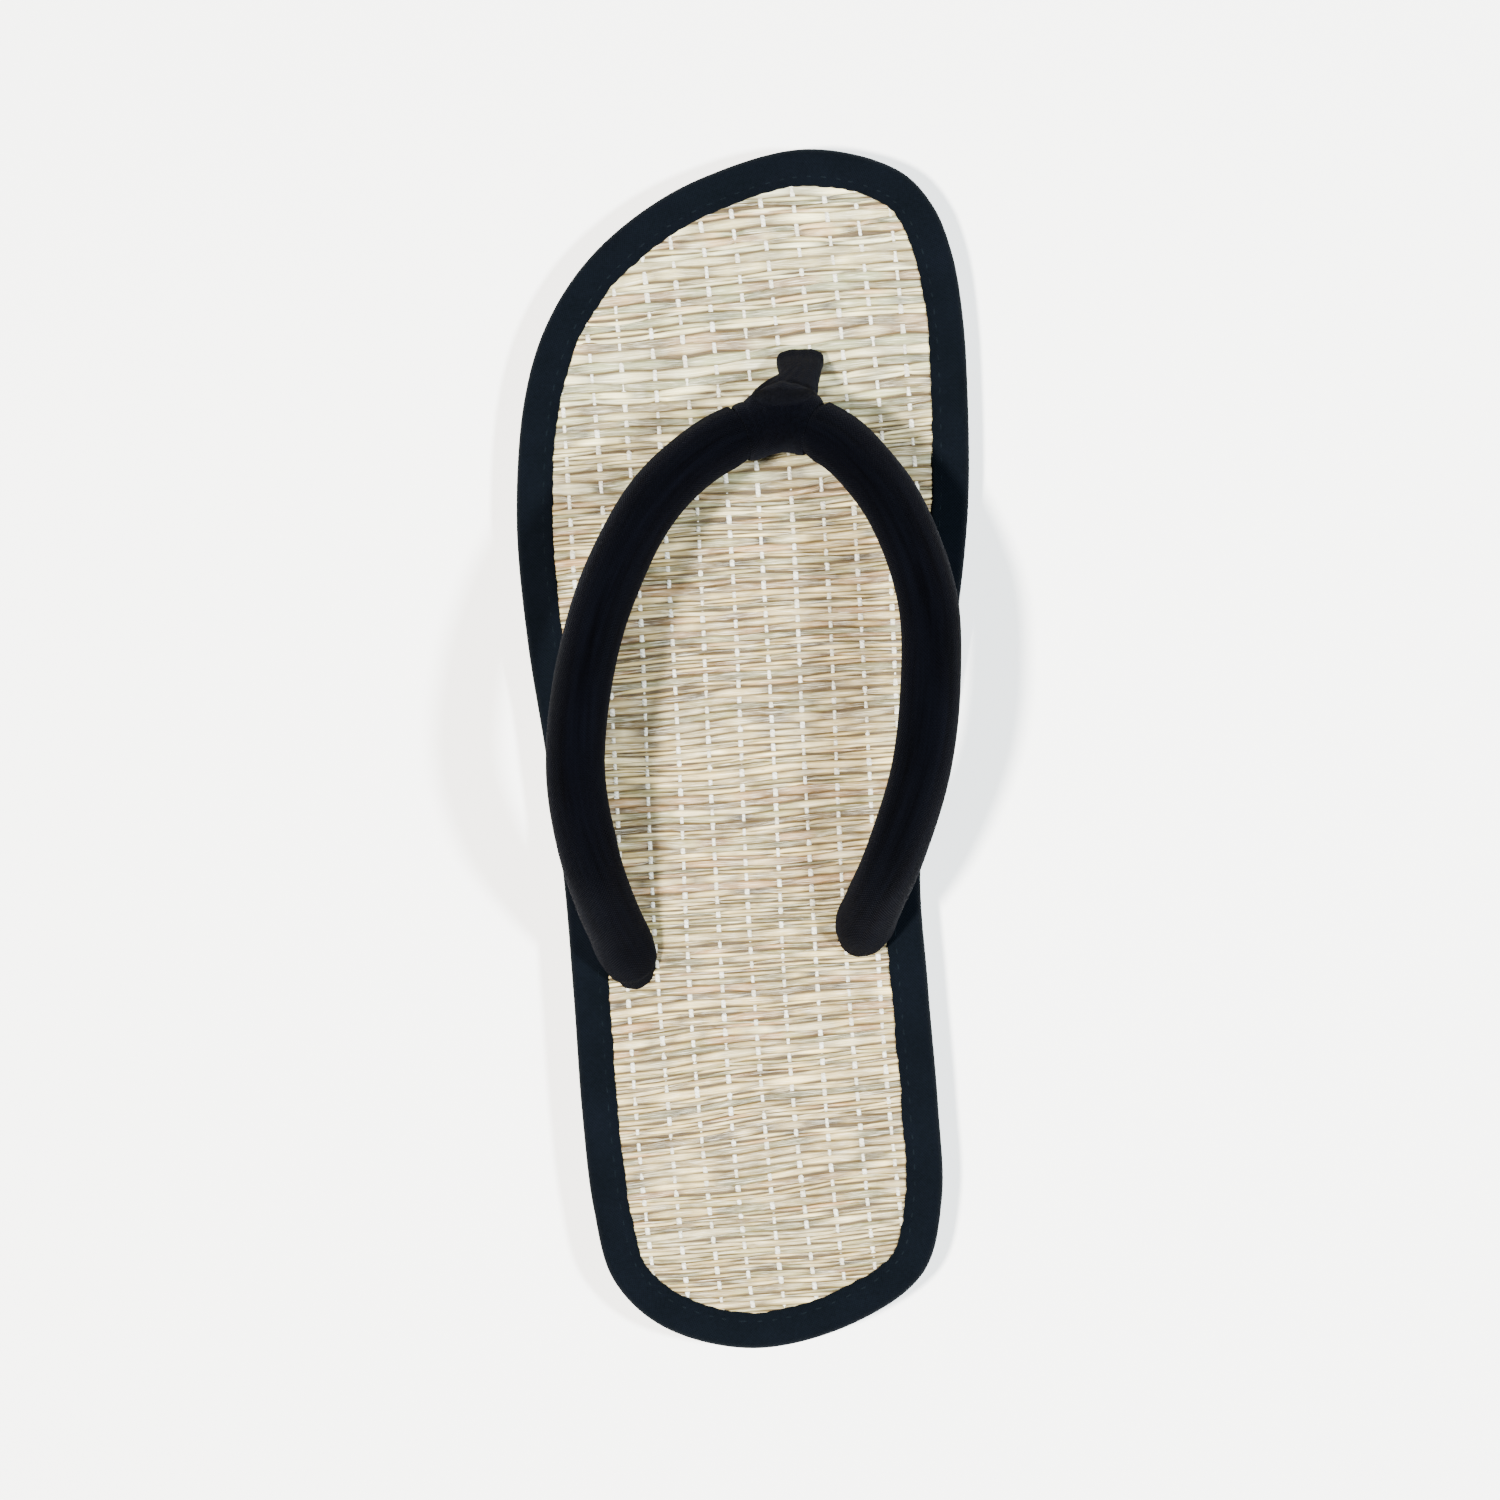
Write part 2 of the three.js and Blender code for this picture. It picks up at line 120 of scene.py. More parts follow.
# The last two columns are shares of the thong's width and thickness
THONG_ROWS = [
    (0.1365, 0.3227, 0.0, 0.96, 0.96), (0.1355, 0.3133, 0.21, 1.0, 1.0),
    (0.128, 0.3035, 0.342, 1.08, 1.0), (0.114, 0.2938, 0.46, 1.3, 0.94),
    (0.104, 0.2852, 0.566, 1.46, 0.8), (0.102, 0.2762, 0.658, 1.5, 0.66),
]
BAND_ACROSS = 0.09

# The colours of the reeds in sRGB steps, and how often each comes up
REEDS = [
    ((236, 221, 176), 0.24), ((204, 187, 140), 0.22), ((172, 166, 124), 0.15), ((140, 140, 106), 0.11),
    ((188, 154, 114), 0.11), ((118, 104, 72), 0.07), ((250, 242, 208), 0.10),
]
# Gains on the reeds' colour at the heel and at the toe: the toe's is paler and brighter. The change starts
# near the top of the strap's loop, so the loop keeps the heel's darker colour, which is partly painted
# shade of the strap.
HEEL_CAST = np.array([1.0, 0.91, 0.70])
TOE_CAST = np.array([1.30, 1.38, 1.28])


def ramp(low, high, value):
    """Smoothstep of a number or an array."""
    t = np.clip((np.asarray(value, float) - low) / (high - low), 0, 1)
    return t * t * (3 - 2 * t)


def spring(y):
    """How far the sole rises off the ground towards the toe."""
    return TOE_SPRING * np.maximum(0, (np.asarray(y) / SOLE_LENGTH + 0.5 - 0.8) / 0.2) ** 2


def sole_top(y):
    wedge = ramp(0.3, 0.62, np.asarray(y) / SOLE_LENGTH + 0.5)
    return spring(y) + HEEL_THICK + (BALL_THICK - HEEL_THICK) * wedge


def mat_base(y):
    return sole_top(y) + FIT_GAP


def mat_top(y):
    return mat_base(y) + TAPE_THICK + FIT_GAP + MAT_THICK


# Curves

class Curve:
    """A centripetal Catmull-Rom curve, read by the share of its run."""

    def __init__(self, points, closed=False, per_span=60):
        p = np.asarray(points, float)
        n = len(p)
        spans = n if closed else n - 1
        weight = np.arange(per_span) / per_span
        out = []
        for i in range(spans):
            a = p[(i - 1) % n] if closed or i > 0 else 2 * p[0] - p[1]
            b = p[i]
            c = p[(i + 1) % n]
            d = p[(i + 2) % n] if closed or i + 2 < n else 2 * p[-1] - p[-2]
            step = [max(float(np.linalg.norm(q - r)) ** 0.5, 1e-6) for q, r in ((b, a), (c, b), (d, c))]
            t1 = ((b - a) / step[0] - (c - a) / (step[0] + step[1]) + (c - b) / step[1]) * step[1]
            t2 = ((c - b) / step[1] - (d - b) / (step[1] + step[2]) + (d - c) / step[2]) * step[1]
            w = weight[:, None]
            out.append(b + t1 * w + (3 * (c - b) - 2 * t1 - t2) * w ** 2 + (2 * (b - c) + t1 + t2) * w ** 3)
        line = np.vstack(out + [(p[:1] if closed else p[-1:])])
        run = np.concatenate([[0], np.cumsum(np.linalg.norm(np.diff(line, axis=0), axis=1))])
        self.line = line
        self.length = float(run[-1])
        self.share = run / run[-1]
        self.closed = closed

    def at(self, share):
        share = np.asarray(share, float)
        share = share % 1.0 if self.closed else np.clip(share, 0, 1)
        return np.stack([np.interp(share, self.share, self.line[:, k]) for k in range(3)], -1)

    def tangent(self, share, reach=0.002):
        run = self.at(np.asarray(share) + reach) - self.at(np.asarray(share) - reach)
        return run / np.linalg.norm(run, axis=-1, keepdims=True)


def outline_curve():
    rows = [(HEEL_TIP[1], HEEL_TIP[0] - 0.5, 0)]
    rows += [(medial, along - 0.5, 0) for along, lateral, medial in OUTLINE_ROWS]
    rows += [(TOE_TIP[1], TOE_TIP[0] - 0.5, 0)]
    rows += [(lateral, along - 0.5, 0) for along, lateral, medial in reversed(OUTLINE_ROWS)]
    rows = np.array(rows, float)
    line = Curve(rows, closed=True).line
    low, high = line.min(0), line.max(0)
    scale = np.array([BALL_WIDTH / (high[0] - low[0]), SOLE_LENGTH / (high[1] - low[1]), 1])
    return Curve((rows - (low + high) / 2) * scale, closed=True)


OUTLINE = outline_curve()


def outline_at(share, inset):
    """Points of the outline moved in by an inset, which may differ from point to point."""
    point, run = OUTLINE.at(share), OUTLINE.tangent(share)
    inset = np.asarray(inset, float)
    return np.stack([point[..., 0] - run[..., 1] * inset, point[..., 1] + run[..., 0] * inset], -1)


OUTLINE_FINE = outline_at(np.arange(900) / 900, 0.0)
RING_SHARES = np.arange(720) / 720


def inset_of(xy):
    """How far each point lies inside the outline."""
    xy = np.asarray(xy, float).reshape(-1, 2)
    out = np.empty(len(xy))
    for i in range(0, len(xy), 4000):
        gap = xy[i:i + 4000, None, :] - OUTLINE_FINE[None]
        out[i:i + 4000] = np.sqrt((gap ** 2).sum(-1).min(1))
    return out


def crossings(points, y):
    """The lowest and highest x at which a closed line crosses a level y."""
    a, b = points, np.roll(points, -1, axis=0)
    hit = (a[:, 1] - y) * (b[:, 1] - y) < 0
    if not hit.any():
        return None
    a, b = a[hit], b[hit]
    x = a[:, 0] + (b[:, 0] - a[:, 0]) * (y - a[:, 1]) / (b[:, 1] - a[:, 1])
    return float(x.min()), float(x.max())


def inside_outline(xs, ys):
    """Whether each point lies inside the outline."""
    inside = np.zeros(len(xs), bool)
    for n, (x, y) in enumerate(zip(xs, ys)):
        span = crossings(OUTLINE_FINE, y)
        inside[n] = span is not None and span[0] < x < span[1]
    return inside


def place(row):
    """The point of a row of STRAP_ROWS or THONG_ROWS."""
    y = row[1] * SOLE_LENGTH
    return np.array([row[0] * BALL_WIDTH, y, float(mat_top(y)) + row[2] * INSTEP_RISE])


def sink(end, before, depth):
    """The point below an end of the strap or thong, at the bottom of its pocket."""
    lean = end - before
    point = end + lean * (depth / abs(lean[2]) / 2)
    point[2] = end[2] - depth
    return point


def hole(along, side):
    """Where the strap meets the mat: side is 0 for the lateral end and 1 for the medial one."""
    y = along * SOLE_LENGTH
    inset = TAPE_TOP_WIDTH + FIT_GAP + HOLE_MARGIN + STRAP_RADIUS * STRAP_END_SHARE
    ring = outline_at(RING_SHARES, inset)
    return np.array([crossings(ring, y)[side], y, float(mat_top(y))])


def strap_curve():
    rows = [hole(LATERAL_HOLE, 0), *[place(row) for row in STRAP_ROWS], hole(MEDIAL_HOLE, 1)]
    start = sink(rows[0], rows[1], BURIED_DEPTH)
    end = sink(rows[-1], rows[-2], BURIED_DEPTH)
    return Curve([start, *rows, end])


def band_share():
    """The share of the strap's run at which the band's middle lies."""
    shares = np.linspace(0, 1, 2001)
    return float(shares[np.argmax(STRAP.at(shares)[:, 0] >= BAND_ACROSS * BALL_WIDTH)])


STRAP = strap_curve()
BAND_SHARE = band_share()
BAND_MIDDLE = STRAP.at(BAND_SHARE)


def strap_radius(point):
    rise = point[..., 2] - mat_top(point[..., 1])
    full = STRAP_END_SHARE + (1 - STRAP_END_SHARE) * ramp(-STRAP_TAPER / 3, STRAP_TAPER, rise)
    start = BAND_HALF - PINCH_BLEND / 4
    free = ramp(start, start + PINCH_BLEND, np.linalg.norm(point - BAND_MIDDLE, axis=-1))
    return STRAP_RADIUS * full - STRAP_PINCH * (1 - free)


def tube_frame(share):
    """Point, side and up of the strap's line. Side points away from the foot."""
    point, run = STRAP.at(share), STRAP.tangent(share)
    flat = np.zeros(point.shape[:-1])
    spread = np.stack([point[..., 0], point[..., 1] - 0.05 * SOLE_LENGTH, flat], -1)
    up = np.cross(run, spread)
    up /= np.linalg.norm(up, axis=-1, keepdims=True)
    side = np.cross(up, run)
    side /= np.linalg.norm(side, axis=-1, keepdims=True)
    return point, side, up


def waves(count, rng, low, high):
    """A few sine waves with seeded lengths and phases, summed to about -1..1."""
    parts = []
    for _ in range(count):
        parts.append((rng.uniform(low, high), rng.uniform(0, 2 * math.pi), rng.uniform(0.5, 1)))
    total = sum(size for length, phase, size in parts)

    def wave(s):
        turn = 2 * math.pi * np.asarray(s)
        return sum(size * np.sin(turn / length + phase) for length, phase, size in parts) / total

    return wave


def wrapped(angle):
    """An angle brought between half a turn either way."""
    return (angle + math.pi) % (2 * math.pi) - math.pi


# Meshes

def new_object(name, mesh):
    obj = bpy.data.objects.new(name, mesh)
    bpy.context.scene.collection.objects.link(obj)
    return obj


def mesh_object(name, points, faces, corners=None, tint=None, smooth=True):
    """points in mm; corners: a 3-vector for each face corner, read by materials as 'cloth'."""
    mesh = bpy.data.meshes.new(name)
    points = np.asarray(points, float) * MM
    faces = np.asarray(faces, int)
    mesh.from_pydata(points.tolist(), [], faces.tolist())
    mesh.polygons.foreach_set("use_smooth", np.full(len(faces), smooth))
    if corners is not None:
        data = mesh.attributes.new("cloth", "FLOAT_VECTOR", "CORNER").data
        data.foreach_set("vector", np.asarray(corners, np.float32).ravel())
    if tint is not None:
        data = mesh.attributes.new("tint", "FLOAT_COLOR", "POINT").data
        rgba = np.concatenate([np.asarray(tint, np.float32), np.ones((len(points), 1), np.float32)], 1)
        data.foreach_set("color", rgba.ravel())
    mesh.update()
    return new_object(name, mesh)


def grid_faces(rows, cols, loop_rows, loop_cols, flip=False):
    """Quads of a grid, as vertex numbers and as numbers in the unwrapped grid."""
    row_steps = np.arange(rows if loop_rows else rows - 1)
    col_steps = np.arange(cols if loop_cols else cols - 1)
    r, c = (a.ravel() for a in np.meshgrid(row_steps, col_steps, indexing="ij"))
    quad = [(r, c), (r, c + 1), (r + 1, c + 1), (r + 1, c)]
    if flip:
        quad = [quad[0], quad[3], quad[2], quad[1]]
    verts = np.stack([(a % rows) * cols + b % cols for a, b in quad], 1)
    flat = np.stack([a * (cols + 1) + b for a, b in quad], 1)
    return verts, flat


def grid_object(name, grid, along, around, loop_rows=False, loop_cols=True, flip=False, caps=False):
    """A skin through a grid of points. along and around, in mm, have one more value where it closes."""
    rows, cols = grid.shape[:2]
    verts, flat = grid_faces(rows, cols, loop_rows, loop_cols, flip)
    a = np.zeros((rows + 1, cols + 1, 3))
    a[:len(along), :, 0] = np.asarray(along)[:, None]
    a[:, :len(around), 1] = np.asarray(around)[None]
    corners = a.reshape(-1, 3)[flat.ravel()]
    points = grid.reshape(-1, 3)
    obj = mesh_object(name, points, verts, corners)
    if caps:
        bm = bmesh.new()
        bm.from_mesh(obj.data)
        bm.verts.ensure_lookup_table()
        for ring in (range(cols), range((rows - 1) * cols, rows * cols)):
            face = bm.faces.new([bm.verts[i] for i in ring])
            face.smooth = True
        bmesh.ops.recalc_face_normals(bm, faces=bm.faces[:])
        bm.to_mesh(obj.data)
        bm.free()
    return obj


def applied(obj):
    """Puts an object's modifiers into its mesh."""
    graph = bpy.context.evaluated_depsgraph_get()
    mesh = bpy.data.meshes.new_from_object(obj.evaluated_get(graph), depsgraph=graph)
    old = obj.data
    obj.modifiers.clear()
    obj.data = mesh
    bpy.data.meshes.remove(old)


def co_of(mesh):
    """A mesh's points in millimetres."""
    co = np.empty(len(mesh.vertices) * 3)
    mesh.vertices.foreach_get("co", co)
    return co.reshape(-1, 3) / MM


def set_co(mesh, co):
    mesh.vertices.foreach_set("co", (co * MM).ravel())
    mesh.update()


def finish_piece(obj, mat, slot, *replaced):
    obj.data.materials.clear()
    obj.data.materials.append(mat)
    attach(obj, "root")
    if replaced:
        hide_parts(*replaced)


# Materials

def linear(*steps):
    """A colour of three sRGB steps, 0 to 255, as shaders read it."""
    parts = [c / 255 / 12.92 if c <= 10 else ((c / 255 + 0.055) / 1.055) ** 2.4 for c in steps]
    return (*parts, 1.0)


class Nodes:
    """Short names for the nodes of one material."""

    def __init__(self, name):
        self.mat = bpy.data.materials.new(name)
        self.mat.use_nodes = True
        self.tree = self.mat.node_tree
        self.shader = self.tree.nodes["Principled BSDF"]

    def add(self, kind, **values):
        node = self.tree.nodes.new(kind)
        for key, value in values.items():
            setattr(node, key, value)
        return node

    def link(self, out, socket):
        self.tree.links.new(out, socket)

    def feed(self, node, key, value):
        if isinstance(value, bpy.types.NodeSocket):
            self.link(value, node.inputs[key])
        elif value is not None:
            node.inputs[key].default_value = value

    def put(self, key, value):
        """Sets an input of the shader to a value or to another node's result."""
        self.feed(self.shader, key, value)

    def math(self, operation, a, b=None, c=None):
        node = self.add("ShaderNodeMath", operation=operation)
        for i, value in enumerate((a, b, c)):
            self.feed(node, i, value)
        return node.outputs[0]

    def scaled(self, vector, scale):
        node = self.add("ShaderNodeVectorMath", operation="MULTIPLY")
        self.feed(node, 0, vector)
        node.inputs[1].default_value = scale
        return node.outputs[0]

    def noise(self, vector, scale=1.0, detail=2.0, rough=0.5):
        node = self.add("ShaderNodeTexNoise")
        self.feed(node, "Vector", vector)
        node.inputs["Scale"].default_value = scale
        node.inputs["Detail"].default_value = detail
        node.inputs["Roughness"].default_value = rough
        return node.outputs["Fac"]

    def ramp(self, fac, low, high, to_low=0.0, to_high=1.0):
        node = self.add("ShaderNodeMapRange", clamp=True)
        keys = ("Value", "From Min", "From Max", "To Min", "To Max")
        for key, value in zip(keys, (fac, low, high, to_low, to_high)):
            self.feed(node, key, value)
        return node.outputs["Result"]

    def mix(self, fac, a, b, blend="MIX"):
        node = self.add("ShaderNodeMix", data_type="RGBA", blend_type=blend, clamp_result=True)
        self.feed(node, 0, fac)
        self.feed(node, 6, a)
        self.feed(node, 7, b)
        return node.outputs[2]

    def bump(self, height, distance, strength=1.0, normal=None):
        node = self.add("ShaderNodeBump")
        node.inputs["Strength"].default_value = strength
        node.inputs["Distance"].default_value = distance
        self.feed(node, "Height", height)
        if normal is not None:
            self.feed(node, "Normal", normal)
        return node.outputs["Normal"]

    def attribute(self, name, output="Vector"):
        node = self.add("ShaderNodeAttribute", attribute_name=name)
        return node.outputs[output]

    def local(self):
        """Object coordinates in millimetres."""
        return self.scaled(self.add("ShaderNodeTexCoord").outputs["Object"], (1000, 1000, 1000))

    def split(self, vector):
        node = self.add("ShaderNodeSeparateXYZ")
        self.feed(node, 0, vector)
        return node.outputs


def cloth(name, dyes, pitch, sheen, sheen_tint, weave_depth, streak=0.0, gloss=0.03):
    """Plain woven cloth: crossing threads with painted shade where the weave dips, uneven dye, a fuzzy
    sheen and, on the strap, long streaks.
    """
    n = Nodes(name)
    on_cloth = n.attribute("cloth")
    x, y, z = n.split(on_cloth)
    turn = 2 * math.pi / pitch
    warps = n.math("SINE", n.math("MULTIPLY", x, turn))
    wefts = n.math("SINE", n.math("MULTIPLY", y, turn))
    over = n.math("MULTIPLY", warps, wefts)
    fuzz = n.noise(n.local(), 1.6, 4.0, 0.65)
    patch = n.noise(n.local(), 0.09, 3.0, 0.5)
    shade = n.math("ADD", n.math("MULTIPLY", fuzz, 0.55), n.math("MULTIPLY", patch, 0.45))
    if streak:
        lines = n.noise(n.scaled(on_cloth, (0.035, 0.55, 0.55)), 1.0, 3.0, 0.6)
        shade = n.math("ADD", n.math("MULTIPLY", shade, 1 - streak), n.math("MULTIPLY", lines, streak))
    colour = n.mix(n.ramp(shade, 0.35, 0.68), *dyes)
    # about a third darker where the weave dips between threads: painted shade
    n.put("Base Color", n.mix(n.ramp(over, -1.0, 1.0, 0.35, 0.0), colour, (0, 0, 0, 1)))
    n.put("Roughness", 0.9)
    n.put("Specular IOR Level", gloss)
    n.put("Sheen Weight", sheen)
    n.put("Sheen Roughness", 0.45)
    n.put("Sheen Tint", sheen_tint)
    weave = n.bump(over, weave_depth, 0.9)
    n.put("Normal", n.bump(fuzz, weave_depth * 1.6, 0.7, weave))
    return n.mat


def reed_material():
    """Split reed: its colour from the mesh, partly its own and partly painted shade and highlight,
    lengthwise streaks that are partly its own colour and partly painted shade and highlight, fine dark
    lines, painted highlight lines, spots, and painted shade at its sides.
    """
    n = Nodes("reed_stems")
    on_reed = n.attribute("cloth")
    x, y, edge = n.split(on_reed)
    streak = n.noise(n.scaled(on_reed, (0.07, 2.6, 0)), 1.0, 3.0, 0.6)
    fine = n.noise(n.scaled(on_reed, (0.16, 9.0, 0)), 1.0, 2.0, 0.6)
    spot = n.noise(n.scaled(on_reed, (0.35, 1.3, 0)), 1.0, 2.0, 0.5)
    # lengthwise streaks: partly the reed's own colour, partly painted shade and painted highlight
    streaks_and_painted_light = n.mix(n.ramp(streak, 0.3, 0.72), (0.52, 0.49, 0.41, 1), (1.36, 1.36, 1.28, 1))
    tone = n.mix(1.0, n.attribute("tint", "Color"), streaks_and_painted_light, "MULTIPLY")
    tone = n.mix(n.ramp(fine, 0.5, 0.72, 0.0, 0.4), tone, linear(112, 92, 56))
    # thin bright lines along the reed: painted highlight
    tone = n.mix(n.ramp(fine, 0.46, 0.28, 0.0, 0.85), tone, linear(250, 244, 220))
    tone = n.mix(n.ramp(spot, 0.66, 0.8, 0.0, 0.55), tone, linear(84, 62, 36))
    # darker towards both sides of each stem, down into the gaps between stems: painted shade
    tone = n.mix(n.ramp(edge, 0.46, 1.0, 0.0, 0.85), tone, linear(84, 64, 36))
    n.put("Base Color", tone)
    n.put("Roughness", n.ramp(streak, 0.3, 0.7, 0.48, 0.3))
    n.put("Specular IOR Level", 0.5)
    n.put("Normal", n.bump(n.math("ADD", fine, n.math("MULTIPLY", streak, 0.6)), 0.00016, 0.8))
    return n.mat


def backing_material():
    n = Nodes("mat_backing")
    grain = n.noise(n.scaled(n.local(), (0.25, 2.2, 1)), 1.0, 4.0, 0.6)
    # the core shows in the gaps between the stems; its dark brown is painted shade of those gaps, with a
    # grain of its own
    n.put("Base Color", n.mix(n.ramp(grain, 0.3, 0.7), linear(48, 39, 25), linear(84, 70, 47)))
    n.put("Roughness", 0.9)
    n.put("Normal", n.bump(grain, 0.0002, 0.8))
    return n.mat


def thread_material():
    n = Nodes("warp_threads")
    x, y, z = n.split(n.attribute("cloth"))
    slant = n.math("ADD", x, n.math("MULTIPLY", y, 0.8))
    twist = n.math("SINE", n.math("MULTIPLY", slant, 2 * math.pi / 0.75))
    fuzz = n.noise(n.local(), 3.0, 3.0, 0.6)
    worn = n.noise(n.local(), 0.42, 2.0, 0.5)
    clean = n.mix(n.ramp(fuzz, 0.3, 0.7), linear(196, 194, 178), linear(238, 237, 226))
    n.put("Base Color", n.mix(n.ramp(worn, 0.4, 0.62, 0.0, 0.55), clean, linear(170, 160, 132)))
    n.put("Roughness", 0.85)
    n.put("Sheen Weight", 0.3)
    n.put("Normal", n.bump(n.math("ADD", twist, fuzz), 0.00008, 0.9))
    return n.mat


def foam_material():
    n = Nodes("outsole_foam")
    cells = n.add("ShaderNodeTexVoronoi", feature="F1")
    n.link(n.local(), cells.inputs["Vector"])
    cells.inputs["Scale"].default_value = 1.5
    grain = n.noise(n.local(), 0.5, 5.0, 0.6)
    dust = n.noise(n.local(), 0.05, 4.0, 0.55)
    tone = n.mix(n.ramp(grain, 0.3, 0.7), linear(20, 21, 24), linear(38, 39, 43))
    tone = n.mix(n.ramp(dust, 0.52, 0.75, 0.0, 0.35), tone, linear(58, 57, 56))
    n.put("Base Color", tone)
    n.put("Roughness", n.ramp(grain, 0.3, 0.7, 0.72, 0.92))
    n.put("Specular IOR Level", 0.3)
    fine = n.bump(cells.outputs["Distance"], 0.00025, 0.5)
    n.put("Normal", n.bump(grain, 0.0003, 0.4, fine))
    return n.mat


def floor_material():
    n = Nodes("floor")
    grain = n.noise(n.local(), 0.02, 2.0, 0.5)
    n.put("Base Color", n.mix(n.ramp(grain, 0.3, 0.7), (0.93, 0.932, 0.935, 1), (0.94, 0.94, 0.94, 1)))
    n.put("Roughness", 0.7)
    n.put("Emission Color", (1, 1, 1, 1))
    n.put("Emission Strength", 0.5)
    return n.mat


# Camera, floor and light

def camera():
    """Looks almost straight down, from a little to the right, as in the photo."""
    data = bpy.data.cameras.new("camera")
    data.sensor_width = 36
    data.lens = CAMERA_LENS
    cam = new_object("camera", data)
    at = CAMERA_AT
    back = (at - CAMERA_AIM).normalized()
    up = Vector((math.sin(CAMERA_LEAN), math.cos(CAMERA_LEAN), 0))
    right = up.cross(back).normalized()
    up = back.cross(right)
    cam.matrix_world = Matrix((
        (right.x, up.x, back.x, at.x),
        (right.y, up.y, back.y, at.y),
        (right.z, up.z, back.z, at.z),
        (0, 0, 0, 1),
    ))
    bpy.context.scene.camera = cam


def area_light(name, azimuth, elevation, power, colour):
    """A round lamp that faces the origin. Its azimuth runs from the toe towards the big toe side."""
    data = bpy.data.lights.new(name, "AREA")
    data.shape = "DISK"
    data.size = LAMP_SIZE
    data.energy = power
    data.color = colour
    lamp = new_object(name, data)
    a, e = math.radians(azimuth), math.radians(elevation)
    away = Vector((math.cos(e) * math.sin(a), math.cos(e) * math.cos(a), math.sin(e))) * LAMP_DISTANCE
    lamp.location = away
    lamp.rotation_euler = away.to_track_quat("Z", "Y").to_euler()


def stage():
    ways = ((-1, -1), (1, -1), (1, 1), (-1, 1))
    corners = [(x * FLOOR_REACH, y * FLOOR_REACH, 0) for x, y in ways]
    floor = mesh_object("floor", corners, [(0, 1, 2, 3)])
    floor.data.materials.append(floor_material())
    world = bpy.data.worlds.new("studio")
    bpy.context.scene.world = world
    world.use_nodes = True
    sky = world.node_tree.nodes["Background"]
    sky.inputs["Color"].default_value = (0.97, 0.98, 1.0, 1)
    sky.inputs["Strength"].default_value = 0.06
    area_light("key", 96, 62.5, 47, (0.92, 0.985, 1.0))
    area_light("fill", -104, 76.5, 72, (1.0, 0.955, 0.88))


# Pieces

def make_outsole(mat):
    """The foam sole: the solid's own faces, shaded round at the side and sharp at the grooves."""
    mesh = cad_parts["outsole"].data.copy()
    mesh.name = "outsole_foam"
    obj = new_object("outsole_foam", mesh)
    bm = bmesh.new()
    bm.from_mesh(mesh)
    bmesh.ops.remove_doubles(bm, verts=bm.verts[:], dist=0.00001)
    for face in bm.faces:
        face.smooth = True
    for edge in bm.edges:
        if len(edge.link_faces) == 2:
            edge.smooth = edge.calc_face_angle(0) < math.radians(28)
    bm.to_mesh(mesh)
    bm.free()
    finish_piece(obj, mat, "outsole", "outsole")


def tape_section():
    """The tape's section: out from the mat's edge and up from its base. The last six are its inside."""
    top = TAPE_LEVEL
    arc = [math.radians(a) for a in (0, 15, 30, 45, 60, 75)]
    section = [(-TAPE_UNDER_WIDTH, 0.0), (-4.6, 0.0), (-2.8, 0.0)]
    section += [(-TAPE_ROUND * (1 - math.sin(a)), TAPE_ROUND * (1 - math.cos(a))) for a in arc]
    section += [(0.0, TAPE_ROUND), (0.0, top / 2), (0.0, top - TAPE_ROUND)]
    section += [(-TAPE_ROUND * (1 - math.cos(a)), top - TAPE_ROUND * (1 - math.sin(a))) for a in arc[1:]]
    section += [(-TAPE_ROUND, top), (-2.6, top + 0.06), (-3.7, top + 0.08), (-4.8, top + 0.06)]
    section += [(-5.8, top + 0.02), (-6.6, top), (-7.2, top - 0.06), (-7.6, top - 0.2)]
    section += [(-7.85, top - 0.45), (-7.9, top - 0.7), (-7.7, top - 0.92)]
    section += [(-6.9, top - TAPE_THICK), (-4.0, top - TAPE_THICK), (-TAPE_THICK, top - TAPE_THICK)]
    section += [(-TAPE_THICK, TAPE_THICK), (-4.0, TAPE_THICK), (-TAPE_UNDER_WIDTH, TAPE_THICK)]
    return section


